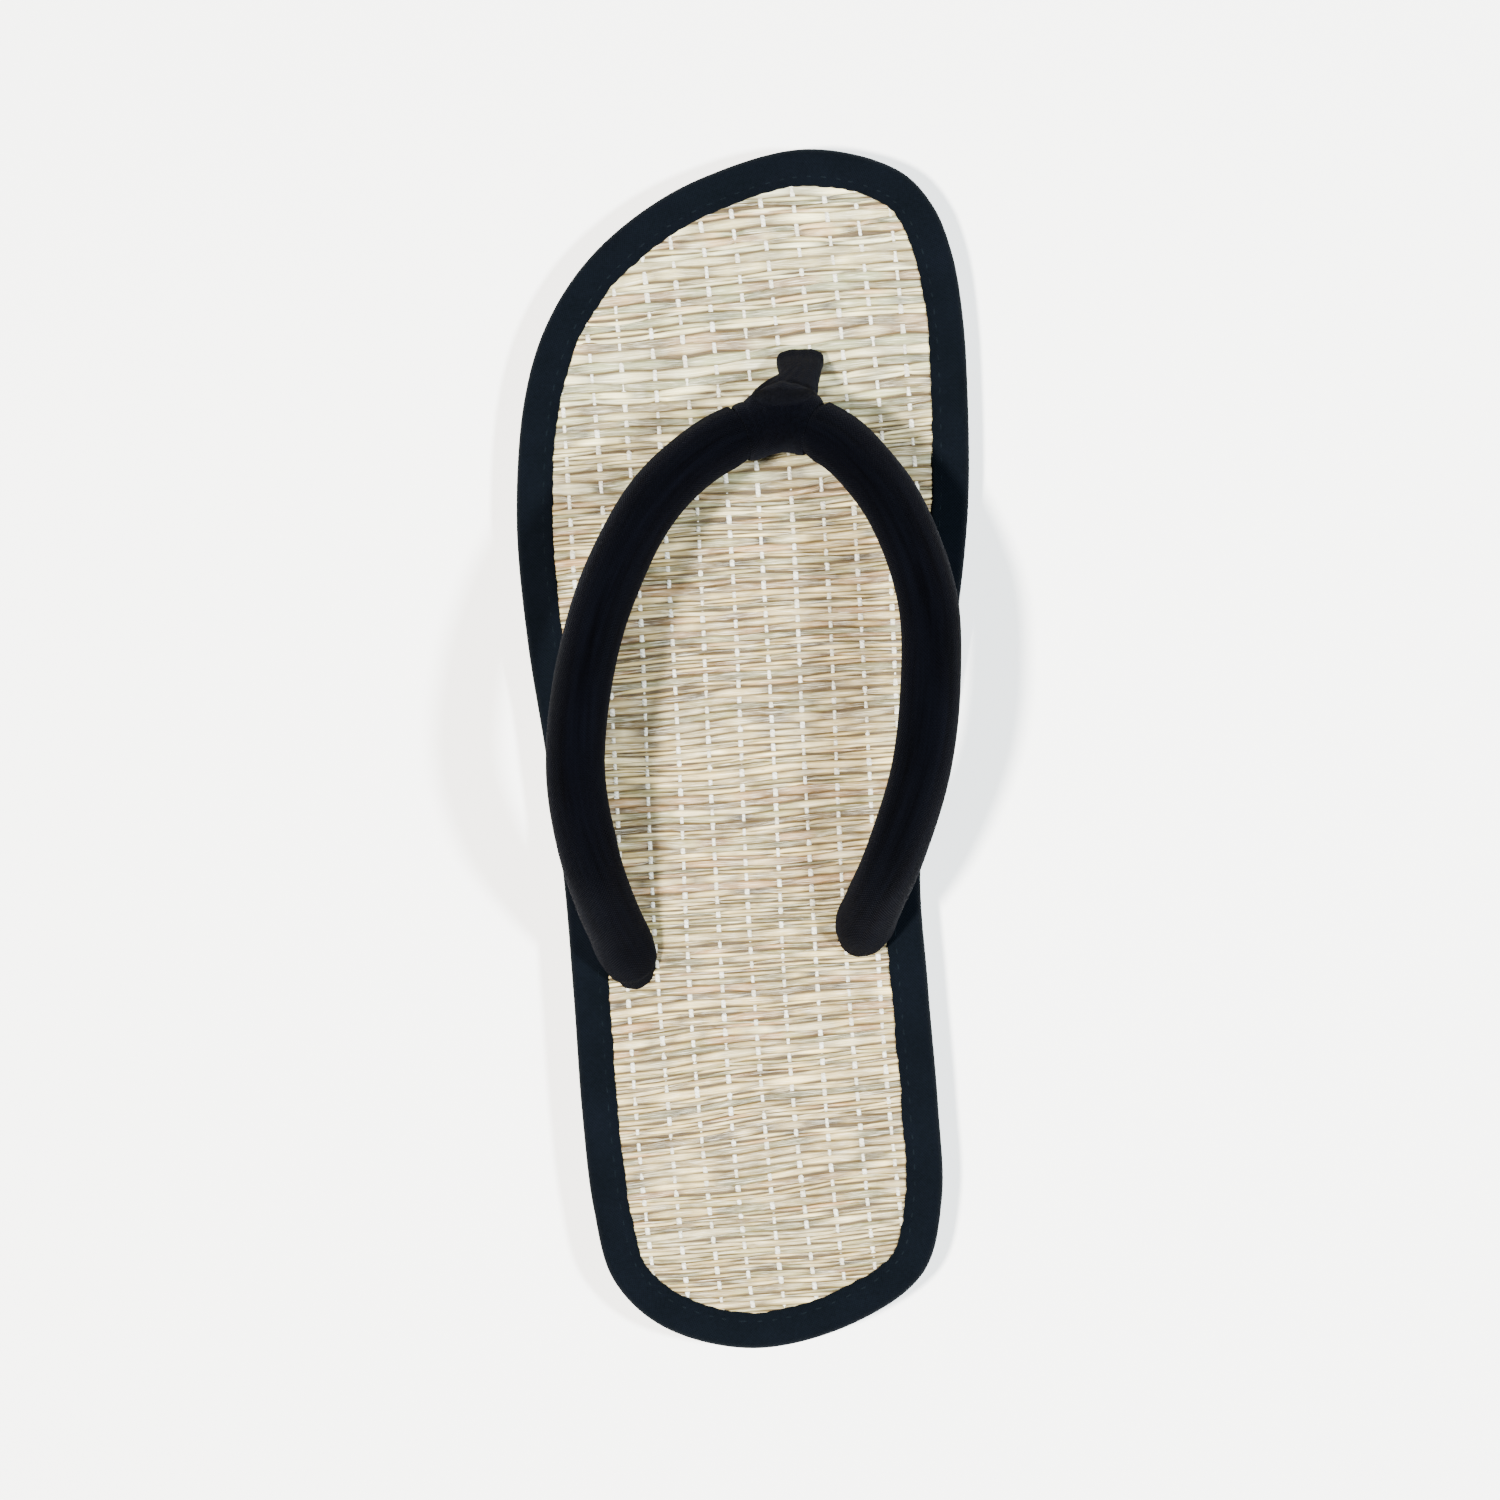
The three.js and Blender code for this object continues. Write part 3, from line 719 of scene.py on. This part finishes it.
def make_tape(mat):
    """The cloth binding: folded over the mat's edge, with its inner edge turned under and sewn."""
    rng = random.Random(SEED + 1)
    stations = 1100
    share = np.arange(stations) / stations
    run = share * OUTLINE.length
    stitches = []
    s = 0.0
    while s < OUTLINE.length - 2.6:
        stitches.append(s)
        s += rng.uniform(3.1, 4.1)
    stitches = np.array(stitches)
    gap = np.abs(run[:, None] - stitches[None])
    near = np.minimum(gap, OUTLINE.length - gap).min(1)
    pull = np.exp(-(near / 0.9) ** 2)
    spread = 0.28 * waves(6, rng, 12, 45)(run) + 0.10 * waves(6, rng, 4, 10)(run)
    ease = waves(7, rng, 3.5, 9)(run)
    tight = ramp(0.30, 0.5, np.abs(OUTLINE.at(share)[:, 1]) / SOLE_LENGTH)
    section = tape_section()
    outside = len(section) - 6
    # these points of the section lie on the mat's side
    side = range(9, 16)
    grid = np.zeros((stations, len(section), 3))
    around = [0.0]
    for k, (out, up) in enumerate(section):
        inset = np.full(stations, -out)
        lift = np.full(stations, up)
        if out < -1.5 and up > TAPE_LEVEL / 2 and k < outside:
            # the top sways a little at its inner edge and is drawn down by each stitch
            inner = (-out - 1.5) / (TAPE_TOP_WIDTH - 1.5)
            inset = inset + inner ** 2 * (spread - 0.15 * pull)
            lift = lift - 0.10 * pull * ramp(0.45, 0.8, inner) * (1 - ramp(0.93, 1.02, inner))
            lift = lift + 0.13 * ease * tight * inner * (1 - inner) * 3
        elif up <= TAPE_LEVEL / 2 and out > -1.6 or k in side:
            lift = lift + 0.03 * ease
        xy = outline_at(share, inset)
        grid[:, k, :2] = xy
        grid[:, k, 2] = mat_base(xy[:, 1]) + lift
        if k:
            around.append(around[-1] + math.dist(section[k - 1], section[k]))
    around.append(around[-1] + math.dist(section[-1], section[0]))
    along = np.append(run, OUTLINE.length)
    tape = grid_object("edge_tape", grid, along, around, loop_rows=True, flip=True)
    finish_piece(tape, mat, "binding", "binding")
    return stitches


def make_stitches(mat, stitches):
    """The sewing thread that shows a little on the binding, one short stitch between needle holes."""
    rng = random.Random(SEED + 2)
    points, faces, corners = [], [], []
    sides, steps = 6, 5
    for a, b in zip(stitches, np.append(stitches[1:], OUTLINE.length)):
        length = (b - a) * rng.uniform(0.42, 0.6)
        middle = (a + b) / 2 + rng.uniform(-0.2, 0.2)
        first = len(points)
        skew = rng.uniform(-0.12, 0.12)
        for i in range(steps):
            t = -1 + 2 * i / (steps - 1)
            share = (middle + t * length / 2) / OUTLINE.length
            inset = STITCH_INSET + skew * t
            centre = outline_at(np.array([share]), np.array([inset]))[0]
            out = outline_at(np.array([share]), np.array([inset - 1]))[0] - centre
            z = float(mat_base(centre[1])) + TAPE_LEVEL - 0.2 * abs(t) ** 3
            radius = 0.15 * math.sqrt(max(0.12, 1 - t * t * 0.9))
            for k in range(sides):
                turn = 2 * math.pi * k / sides
                x = centre[0] + out[0] * radius * math.cos(turn)
                y = centre[1] + out[1] * radius * math.cos(turn)
                points.append((x, y, z + radius * math.sin(turn)))
        for i in range(steps - 1):
            for k in range(sides):
                quad = ((i, k), (i, k + 1), (i + 1, k + 1), (i + 1, k))
                faces.append([first + a * sides + b % sides for a, b in quad])
                corners += [(a * 0.4, b * 0.16, 0) for a, b in quad]
    obj = mesh_object("tape_stitches", points, faces, corners)
    finish_piece(obj, mat, "binding")


def make_backing(mat):
    """The mat's core: the solid with its raised picks pressed flat, so that the stems lie on it."""
    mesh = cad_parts["mat"].data.copy()
    mesh.name = "mat_backing"
    obj = new_object("mat_backing", mesh)
    co = co_of(mesh)
    top = mat_top(co[:, 1])
    high = co[:, 2] > top - 0.05
    co[high, 2] = top[high] - BACKING_DEPTH
    set_co(mesh, co)
    for face in mesh.polygons:
        face.use_smooth = False
    finish_piece(obj, mat, "mat", "mat")


def bend(u, v):
    """The slow waves that all picks share, as a shift square to them."""
    u, v = np.asarray(u, float), np.asarray(v, float)
    slope = 0.052 * np.exp(-((v + 76) / 24) ** 2) + 0.012 * np.exp(-((v - 92) / 30) ** 2)
    return slope * u + 0.30 * np.sin(u / 12.5 + v / 15) + 0.16 * np.sin(u / 5.6 + v / 6.5 + 1)


def warp_x(i, y):
    """Where warp i lies across the shoe at a level y: the warps lean a little, more at both ends."""
    t = np.asarray(y) / (SOLE_LENGTH / 2)
    return i * WARP_PITCH - 1.95 - 2.3 * t - 4.6 * t ** 3 + 0.16 * np.sin(np.asarray(y) / 17.0 + i * 2.1)


def mat_layout():
    """The levels of the picks, heel to toe, along the line square to them."""
    rng = random.Random(SEED + 3)
    levels = []
    v = -SOLE_LENGTH / 2 + 2
    while v < SOLE_LENGTH / 2 + 2:
        pitch = 1.56 + 0.06 * float(ramp(-120, 0, v)) + 0.5 * float(ramp(20, 110, v))
        pitch *= rng.uniform(0.84, 1.18)
        if v > 50 and rng.random() < 0.14:
            pitch *= 1.5
        levels.append((v + pitch / 2, pitch))
        v += pitch
    return levels


def pick_colour(rng):
    """A reed's colour, drawn by the shares in REEDS and dimmed a little."""
    roll = rng.random()
    for colour, share in REEDS:
        roll -= share
        if roll <= 0:
            break
    dim = rng.uniform(0.62, 0.84)
    return np.array(linear(*[min(255, c * dim) for c in colour])[:3])


def turned(u, v):
    """From pick coordinates to the shoe's x and y."""
    return u * LEAN_COS - v * LEAN_SIN, u * LEAN_SIN + v * LEAN_COS


def in_holes(xy):
    """Whether each point lies under the strap's ends or the thong, where no stem shows."""
    inside = np.zeros(len(xy), bool)
    for along, side in ((LATERAL_HOLE, 0), (MEDIAL_HOLE, 1)):
        middle = hole(along, side)
        reach = strap_radius(middle) - STEM_TUCK
        inside |= np.hypot(xy[:, 0] - middle[0], xy[:, 1] - middle[1]) < reach
    post = place(THONG_ROWS[0])
    share = THONG_ROWS[0][3]
    wide, thick = THONG_WIDTH / 2 * share - STEM_TUCK, THONG_THICK / 2 * share - STEM_TUCK
    inside |= ((xy[:, 0] - post[0]) / wide) ** 2 + ((xy[:, 1] - post[1]) / thick) ** 2 < 1
    return inside


def free_of_tape(inset):
    """0 where the weave lies under the tape, and 1 where it is free of it."""
    return ramp(7.7, 9.6, inset)


def stem_stations(edge, j, v):
    """Where a stem of pick j is measured, and how far each place is from a warp that presses it."""
    span = crossings(edge, v)
    if span is None:
        return None, None
    low, high = span
    over = [i for i in WARPS if (i + j) % 2 == 0]
    pressed = np.array([float(warp_x(i, v)) / LEAN_COS + v * math.tan(PICK_LEAN) for i in over])
    offsets = np.array([-4.6, -2.3, -1.2, -0.6, 0.0, 0.6, 1.2, 2.3, 4.6, 6.68])
    u = np.unique(np.round((pressed[:, None] + offsets[None]).ravel(), 3))
    u = u[(u > low) & (u < high)]
    u = np.concatenate([[low], u, [high]])
    u = u[np.concatenate([[True], np.diff(u) > 0.25])]
    return u, np.abs(u[:, None] - pressed[None]).min(1)


# A stem's section: across it, as a share of its half width, and up, from -1 at its foot to 1
STEM_SECTION = np.array([
    (-1.0, -1.0), (-0.86, 0.1), (-0.45, 0.8), (0.05, 1.0), (0.5, 0.76), (0.88, 0.05), (1.0, -1.0),
])


def stem_grid(u, middle, half, height):
    """The points of one stem. Under the tape it is pressed flat."""
    grid = np.zeros((len(u), len(STEM_SECTION), 3))
    for k, (across, lift) in enumerate(STEM_SECTION):
        x, y = turned(u, middle + half * across)
        free = free_of_tape(inset_of(np.stack([x, y], 1)))
        top = 0.08 + (height - 0.08) * free
        body = STEM_FOOT + (top - STEM_FOOT) * (0.62 + 0.38 * lift)
        grid[:, k, 0] = x
        grid[:, k, 1] = y
        grid[:, k, 2] = mat_top(y) + np.where(lift < -0.5, STEM_FOOT, body)
    return grid


def make_stems(mat, levels):
    """The reed stems, one to three to a pick, pressed down where a warp crosses them."""
    rng = random.Random(SEED + 4)
    edge = outline_at(RING_SHARES, 5.6)
    edge = np.stack([
        edge[:, 0] * LEAN_COS + edge[:, 1] * LEAN_SIN,
        -edge[:, 0] * LEAN_SIN + edge[:, 1] * LEAN_COS,
    ], 1)
    all_points, all_faces, all_corners, all_tints = [], [], [], []
    count = 0
    total = 0
    for j, (v, pitch) in enumerate(levels):
        u, gap = stem_stations(edge, j, v)
        if u is None:
            continue
        squeeze = np.exp(-(gap / 1.05) ** 2)
        bow = 0.5 - 0.5 * np.cos(np.clip(gap / WARP_PITCH, 0, 1) * math.pi)
        stems = 1 + (rng.random() < 0.45) + (pitch > 2.7)
        two = stems > 1
        shares = [rng.uniform(0.8, 1.3) for _ in range(stems)]
        shares = [part / sum(shares) for part in shares]
        start = -0.5
        # from the heel's colour to the toe's; the strap's loop keeps the heel's darker colour, partly
        # painted shade of the strap
        toe = float(ramp(36, 76, v))
        base = pick_colour(rng)
        cross = rng.uniform(-0.28, 0.28) if two else 0.0
        for part in shares:
            own = base if rng.random() < 0.35 else pick_colour(rng)
            other = pick_colour(rng)
            width = pitch * part
            drift = waves(3, rng, 22, 80)
            thin = waves(3, rng, 14, 50)
            tone = waves(5, rng, 4, 26)
            blend = ramp(-0.25, 0.45, waves(3, rng, 10, 44)(u))[:, None]
            # the stems of a pick drift, cross and draw together where a warp binds them
            middle = v + bend(u, v) + (start + part / 2) * pitch + 0.16 * pitch * drift(u)
            middle = middle + (cross * pitch * 0.5 * waves(2, rng, 40, 80)(u) if two else 0)
            middle = middle + np.where(two, (-(start + part / 2)) * pitch * 0.35 * squeeze, 0)
            half = width / 2 * (0.94 + 0.28 * bow + 0.15 * thin(u)) * (1 - 0.08 * squeeze)
            rise = rng.uniform(-0.06, 0.06)
            height = 0.02 + 0.13 * (1 - squeeze) + 0.26 * bow + rise + 0.05 * thin(u * 1.7)
            start += part
            grid = stem_grid(u, middle, half, height)
            rows, cols = grid.shape[:2]
            verts, flat = grid_faces(rows, cols, False, False, flip=True)
            # each stem reads its own part of the material
            across = STEM_SECTION[:, 0]
            a = np.zeros((rows + 1, cols + 1, 3))
            a[:rows, :, 0] = (u + 137.0 * count)[:, None]
            a[:, :cols, 1] = (across * width / 2 + 3.1 * count)[None]
            a[:, :cols, 2] = np.abs(across)[None]
            points = grid.reshape(-1, 3)
            keep = ~in_holes(points[:, :2])[verts].all(1)
            all_faces.append(verts[keep] + total)
            all_corners.append(a.reshape(-1, 3)[flat[keep].ravel()])
            all_points.append(points)
            total += len(points)
            level = 0.95 + 0.85 * tone(u) + 0.16 * rng.uniform(-1, 1)
            # darker where a warp presses the stem down: painted shade; lighter where the stem bows up
            # between warps: painted highlight
            level = level - 0.14 * squeeze + 0.14 * (bow - 0.5)
            cast = HEEL_CAST * (1 - toe) + TOE_CAST * toe
            colour = own[None] * (1 - blend) + other[None] * blend
            tint = np.clip(colour * level[:, None] * cast, 0, 1)
            all_tints.append(np.repeat(tint, cols, axis=0))
            count += 1
    parts = [np.vstack(part) for part in (all_points, all_faces, all_corners, all_tints)]
    finish_piece(mesh_object("reed_stems", *parts), mat, "mat")


def make_warps(mat, levels):
    """The cotton warps: over one pick and under the next, in turn."""
    rng = random.Random(SEED + 5)
    all_points, all_faces, all_corners = [], [], []
    total = 0
    shape = np.array([(-1.0, -0.3), (-0.72, 0.55), (0.0, 1.0), (0.72, 0.55), (1.0, -0.3)])
    for i in WARPS:
        ys, zs, wide = [], [], []
        for j, (v, pitch) in enumerate(levels):
            # the level along the shoe where this warp crosses the pick
            y = v
            for _ in range(3):
                x = float(warp_x(i, y))
                shift = float(bend(x * LEAN_COS + y * LEAN_SIN, v))
                y = (v + shift + x * LEAN_SIN) / LEAN_COS
            over = (i + j) % 2 == 0
            crest = rng.uniform(0.12, 0.38) if over else -0.36
            broad = rng.uniform(0.34, 0.54) if over else 0.36
            reach = pitch * (rng.uniform(0.85, 1.26) if over else 1)
            for t in (-0.5, -0.38, -0.2, 0.0, 0.2, 0.38):
                if over:
                    z = crest if abs(t) < 0.3 else (crest - 0.14 if abs(t) < 0.45 else -0.05)
                else:
                    z = crest if abs(t) < 0.45 else -0.05
                ys.append(y + t * reach)
                zs.append(z)
                wide.append(broad)
        ys, zs, wide = np.array(ys), np.array(zs), np.array(wide)
        xs = warp_x(i, ys) + 0.05 * waves(4, rng, 3, 12)(ys)
        inset = inset_of(np.stack([xs, ys], 1))
        keep = inside_outline(xs, ys) & (inset > 6.2)
        if keep.sum() < 8:
            continue
        xs, ys, zs, wide, inset = xs[keep], ys[keep], zs[keep], wide[keep], inset[keep]
        free = free_of_tape(inset)
        zs = np.minimum(zs, 0.06 + (zs - 0.06) * free)
        grid = np.zeros((len(ys), len(shape), 3))
        for k, (across, lift) in enumerate(shape):
            grid[:, k, 0] = xs + across * wide
            grid[:, k, 1] = ys
            grid[:, k, 2] = mat_top(ys) + zs - 0.2 * (1 - lift)
        rows, cols = grid.shape[:2]
        verts, flat = grid_faces(rows, cols, False, False, flip=True)
        a = np.zeros((rows + 1, cols + 1, 3))
        a[:rows, :, 0] = ys[:, None]
        a[:, :cols, 1] = (shape[:, 0] * 0.5)[None]
        points = grid.reshape(-1, 3)
        clear = ~in_holes(points[:, :2])[verts].all(1)
        all_faces.append(verts[clear] + total)
        all_corners.append(a.reshape(-1, 3)[flat[clear].ravel()])
        all_points.append(points)
        total += len(points)
    parts = [np.vstack(part) for part in (all_points, all_faces, all_corners)]
    finish_piece(mesh_object("warp_threads", *parts), mat, "mat")


def make_strap(mat):
    """The padded strap: a stuffed cloth tube with soft lengthwise folds, gathered at its ends."""
    rng = random.Random(SEED + 6)
    stations, sides = 520, 48
    share = np.linspace(0, 1, stations)
    point, side, up = tube_frame(share)
    run = share * STRAP.length
    radius = strap_radius(point)
    rise = point[:, 2] - mat_top(point[:, 1])
    near_end = 1 - ramp(2, 22, rise)
    from_band = np.linalg.norm(point - BAND_MIDDLE, axis=1)
    at_band = 1 - ramp(BAND_HALF - 1.5, BAND_HALF + 1.5, from_band)
    near_band = (1 - ramp(BAND_HALF, BAND_HALF + 16, from_band)) * (1 - at_band)
    turn = np.arange(sides) / sides * 2 * math.pi
    folds = np.zeros((stations, sides))
    for lobes, size in ((2, 0.12), (3, 0.12), (5, 0.08)):
        sway, swell = waves(3, rng, 60, 160), waves(3, rng, 40, 120)
        twist = 1.6 * sway(run)[:, None]
        folds += size * (0.6 + 0.5 * swell(run))[:, None] * np.cos(lobes * turn[None] + twist)
    for lobes, size in ((9, 0.16), (13, 0.09)):
        sway = waves(3, rng, 25, 60)
        twist = 0.8 * sway(run)[:, None]
        folds += size * (0.35 * near_end + 0.7 * near_band)[:, None] * np.cos(lobes * turn[None] + twist)
    lumps = waves(5, rng, 14, 45)
    folds += 0.08 * lumps(run)[:, None]
    seam = np.abs(wrapped(turn - 1.5 * math.pi))
    folds -= 0.35 * np.exp(-(seam / 0.09) ** 2)[None]
    folds *= (1 - 0.85 * at_band)[:, None]
    folds = np.minimum(folds, 0.3)
    puff = 0.75 * ramp(0.9, 2.8, rise) * (1 - ramp(5, 13, rise))
    beside = from_band - BAND_HALF
    # on the side away from the foot the padding swells up again straight beside the band
    full = STRAP_PINCH * (1 - ramp(-PINCH_BLEND / 4, PINCH_BLEND * 3 / 4, beside)) * ramp(0, 0.6, beside)
    grown = (radius + puff)[:, None] + full[:, None] * (0.5 + 0.5 * np.cos(turn))[None] + folds
    outward = side[:, None] * (np.cos(turn)[None] * grown)[..., None]
    upward = up[:, None] * (np.sin(turn)[None] * grown)[..., None]
    grid = point[:, None] + outward + upward
    around = np.arange(sides + 1) / sides * 2 * math.pi * STRAP_RADIUS
    obj = grid_object("strap_cover", grid, run, around, caps=True)
    finish_piece(obj, mat, "strap", "strap")


def band_skew(t, angle):
    """The band's edges run straight across the foot side, so the band is longer there."""
    return 0.5 * t ** 3 * (0.2 - np.minimum(np.cos(angle), 0.2))


def band_loops():
    """The rings of the band: along its outside, then back along its inside."""
    t = np.linspace(-1, 1, 64)
    point, side, up = tube_frame(BAND_SHARE + t * BAND_HALF / STRAP.length)
    run = np.cross(side, up)
    turn = np.arange(BAND_SIDES) / BAND_SIDES * 2 * math.pi
    outer = STRAP_RADIUS - STRAP_PINCH + FIT_GAP + BAND_THICK - 0.6 * np.abs(t) ** 6
    inner = STRAP_RADIUS - STRAP_PINCH + 0.12
    # the cloth humps over the top of the post
    lobe = wrapped(turn + 0.25)
    hump = 2.3 * np.exp(-np.abs((t - 0.22) / 0.58) ** 2.4)[:, None] * np.exp(-((lobe / 0.95) ** 2))[None]

    def ring(radius, k):
        outward = side[k] * (np.cos(turn) * radius)[:, None]
        upward = up[k] * (np.sin(turn) * radius)[:, None]
        return point[k] + outward + upward + run[k] * band_skew(t[k], turn)[:, None]

    outside = [ring(outer[k] + hump[k], k) for k in range(len(t))]
    inside = [ring(inner, k) for k in reversed(range(len(t)))]
    return np.array(outside + inside)


def post_line():
    """The middles of the post's sections and their sizes, from its pocket up into the band."""
    rows = [place(row) for row in THONG_ROWS]
    sizes = [(row[3], row[4], 0) for row in THONG_ROWS]
    middle = Curve([sink(rows[0], rows[1], BURIED_DEPTH), *rows]).line[::4]
    size = Curve([(THONG_END_SHARE, THONG_END_SHARE, 0), *sizes]).line[::4]
    rise = (middle[:, 2] - mat_top(middle[:, 1])) / INSTEP_RISE
    fan = ramp(0.35, 0.6, rise)
    # the cloth is drawn in on the side of the small toes
    waist = 0.85 * np.exp(-((rise - 0.33) / 0.09) ** 2)
    size[:, 0] = size[:, 0] * (1 + 0.04 * fan) - waist / (THONG_WIDTH / 2)
    middle[:, 0] += 0.1 * fan + waist
    # and it swells a little over its hole
    swell = np.exp(-((rise - 0.09) / 0.055) ** 2)
    size[:, 0] *= 1 + 0.09 * swell
    size[:, 1] *= 1 + 0.14 * swell
    middle[:, 1] += 0.6 * swell
    return middle, size


def post_rings(middle, size):
    """The sections of the post: rounded oblongs with a shallow groove on the toe side."""
    turn = (np.arange(POST_SIDES) + 0.5) / POST_SIDES * 2 * math.pi
    px, py = (np.sign(w) * np.abs(w) ** 0.9 for w in (np.cos(turn), np.sin(turn)))
    groove = np.where(py > 0, 0.22 * np.exp(-((px / 0.3) ** 2)), 0)
    rings = []
    for at, share in zip(middle, size):
        x = at[0] + px * share[0] * THONG_WIDTH / 2
        y = at[1] + py * (1 - groove) * share[1] * THONG_THICK / 2
        rings.append(np.stack([x, y, np.full(POST_SIDES, at[2])], 1))
    return np.array(rings)


def thong_blank(middle, size):
    """The band and the post as one skin of even, softened faces."""
    band = band_loops()
    post = post_rings(middle, size)
    band_faces, _ = grid_faces(len(band), BAND_SIDES, True, True)
    post_faces, _ = grid_faces(len(post), POST_SIDES, False, True)
    base = len(band) * BAND_SIDES
    points = np.vstack([band.reshape(-1, 3), post.reshape(-1, 3)])
    obj = mesh_object("thong_wrap", points, np.vstack([band_faces, post_faces + base]))
    bm = bmesh.new()
    bm.from_mesh(obj.data)
    bm.verts.ensure_lookup_table()
    for first in (base, base + (len(post) - 1) * POST_SIDES):
        bm.faces.new([bm.verts[i] for i in range(first, first + POST_SIDES)])
    bmesh.ops.recalc_face_normals(bm, faces=bm.faces[:])
    bm.to_mesh(obj.data)
    bm.free()
    remesh = obj.modifiers.new("remesh", "REMESH")
    remesh.mode = "VOXEL"
    remesh.voxel_size = 0.3 * MM
    soft = obj.modifiers.new("soft", "SMOOTH")
    soft.factor = 0.5
    soft.iterations = 12
    applied(obj)
    return obj


def thong_places(co):
    """Each point by the strap's line: how far along from the band's middle, how far out, its angle."""
    fine = BAND_SHARE + np.linspace(-1.6, 1.6, 161) * BAND_HALF / STRAP.length
    line, side, up = tube_frame(fine)
    run = np.cross(side, up)
    near = np.linalg.norm(co[:, None] - line[None], axis=2).argmin(1)
    away = co - line[near]
    along = (fine[near] - BAND_SHARE) * STRAP.length + (away * run[near]).sum(1)
    outward = (away * side[near]).sum(1)
    upward = (away * up[near]).sum(1)
    return along, np.hypot(outward, upward), np.arctan2(upward, outward)


def ease_joint(mesh):
    """Smooths the skin where the post flows into the band, so that no crease is left."""
    co = co_of(mesh)
    along, out, angle = thong_places(co)
    below = co[:, 2] < BAND_MIDDLE[2] + 1.5
    joint = np.exp(-((out - 6.6) / 1.3) ** 2) * ramp(-2.95, -2.5, -np.abs(angle + 0.5))
    joint *= ramp(60, 62, co[:, 1]) * below * ramp(0, 2, co[:, 1] - (BAND_MIDDLE[1] + 1.0))
    edges = np.empty(len(mesh.edges) * 2, int)
    mesh.edges.foreach_get("vertices", edges)
    edges = edges.reshape(-1, 2)
    degree = np.bincount(edges.ravel(), minlength=len(co)).astype(float)[:, None]
    for _ in range(60):
        total = np.zeros_like(co)
        np.add.at(total, edges[:, 0], co[edges[:, 1]])
        np.add.at(total, edges[:, 1], co[edges[:, 0]])
        co += (total / degree - co) * (0.6 * np.clip(joint, 0, 1))[:, None]
    set_co(mesh, co)


def make_thong(mat):
    """The thong: a cloth band round the strap that narrows into the post between the toes."""
    rng = random.Random(SEED + 7)
    middle, size = post_line()
    obj = thong_blank(middle, size)
    mesh = obj.data
    ease_joint(mesh)

    # hems, folds and lobes, moved along the normals
    co = co_of(mesh)
    along, out, angle = thong_places(co)
    normal = np.empty(len(mesh.vertices) * 3)
    mesh.vertices.foreach_get("normal", normal)
    normal = normal.reshape(-1, 3)
    on_band = 1 - ramp(6.5, 7.7, out)
    on_post = 1 - on_band
    post_x = np.interp(co[:, 2], middle[:, 2], middle[:, 0])
    post_half = np.interp(co[:, 2], middle[:, 2], size[:, 0]) * THONG_WIDTH / 2
    u = (co[:, 0] - post_x) / post_half
    front = ramp(-0.3, 0.5, normal[:, 1])
    rise = co[:, 2] - mat_top(co[:, 1])
    hem = np.abs(along - band_skew(along / BAND_HALF, angle))
    fold_a, fold_b = waves(3, rng, 10, 26), waves(3, rng, 6, 14)
    move = on_band * (0.10 * ramp(5.2, 5.8, hem) - 0.12 * np.exp(-((hem - 5.4) / 0.3) ** 2))
    move += on_band * 0.09 * np.cos(angle * 5 + 0.5 * along + 1.2 * fold_a(along * 3))
    move += on_band * front * 0.12 * np.cos(along * 1.9 + 0.8 * fold_a(co[:, 2]))
    gather = on_post * ramp(0, 5, rise)
    move += gather * front * (0.20 * np.cos(u * 7.0) + 0.10 * np.cos(u * 14.5 + 0.9 * fold_b(co[:, 2])))
    move += gather * (1 - front) * 0.10 * np.cos(u * 9 + fold_a(co[:, 2]))
    move = np.clip(move, -0.32, 0.30)
    # the inside of the band keeps clear of the strap
    move[out < STRAP_RADIUS - STRAP_PINCH + FIT_GAP + 0.25] = 0
    co += normal * move[:, None]
    set_co(mesh, co)
    mesh.polygons.foreach_set("use_smooth", np.ones(len(mesh.polygons), bool))

    # the cloth runs round the band and down the post
    x = along * on_band + (co[:, 0] - BAND_MIDDLE[0]) * on_post
    y = angle * 6.3 * on_band + co[:, 2] * on_post
    data = mesh.attributes.new("cloth", "FLOAT_VECTOR", "POINT").data
    data.foreach_set("vector", np.stack([x, y, np.zeros(len(x))], 1).astype(np.float32).ravel())
    finish_piece(obj, mat, "toe_thong", "toe_thong")


camera()
stage()

NAVY_FUZZ = (0.6, 0.65, 0.9, 1)
TAPE_DYES = (linear(3, 6, 10), linear(7, 11, 18))
STITCH_DYES = (linear(6, 11, 16), linear(16, 24, 30))
STRAP_DYES = (linear(0, 0, 1), linear(3, 4, 9))

make_outsole(foam_material())
tape_cloth = cloth("binding_tape", TAPE_DYES, 0.62, 0.02, (0.6, 0.75, 0.9, 1), 0.00007)
stitch_runs = make_tape(tape_cloth)
thread = cloth("tape_stitches", STITCH_DYES, 0.4, 0.02, (0.8, 0.9, 1, 1), 0.00004)
make_stitches(thread, stitch_runs)
make_backing(backing_material())
pick_levels = mat_layout()
make_stems(reed_material(), pick_levels)
make_warps(thread_material(), pick_levels)
make_strap(cloth("strap_cloth", STRAP_DYES, 0.7, 0.01, NAVY_FUZZ, 0.00009, streak=0.6, gloss=0.02))
make_thong(cloth("thong_cloth", STRAP_DYES, 0.7, 0.015, NAVY_FUZZ, 0.00009, gloss=0.02))
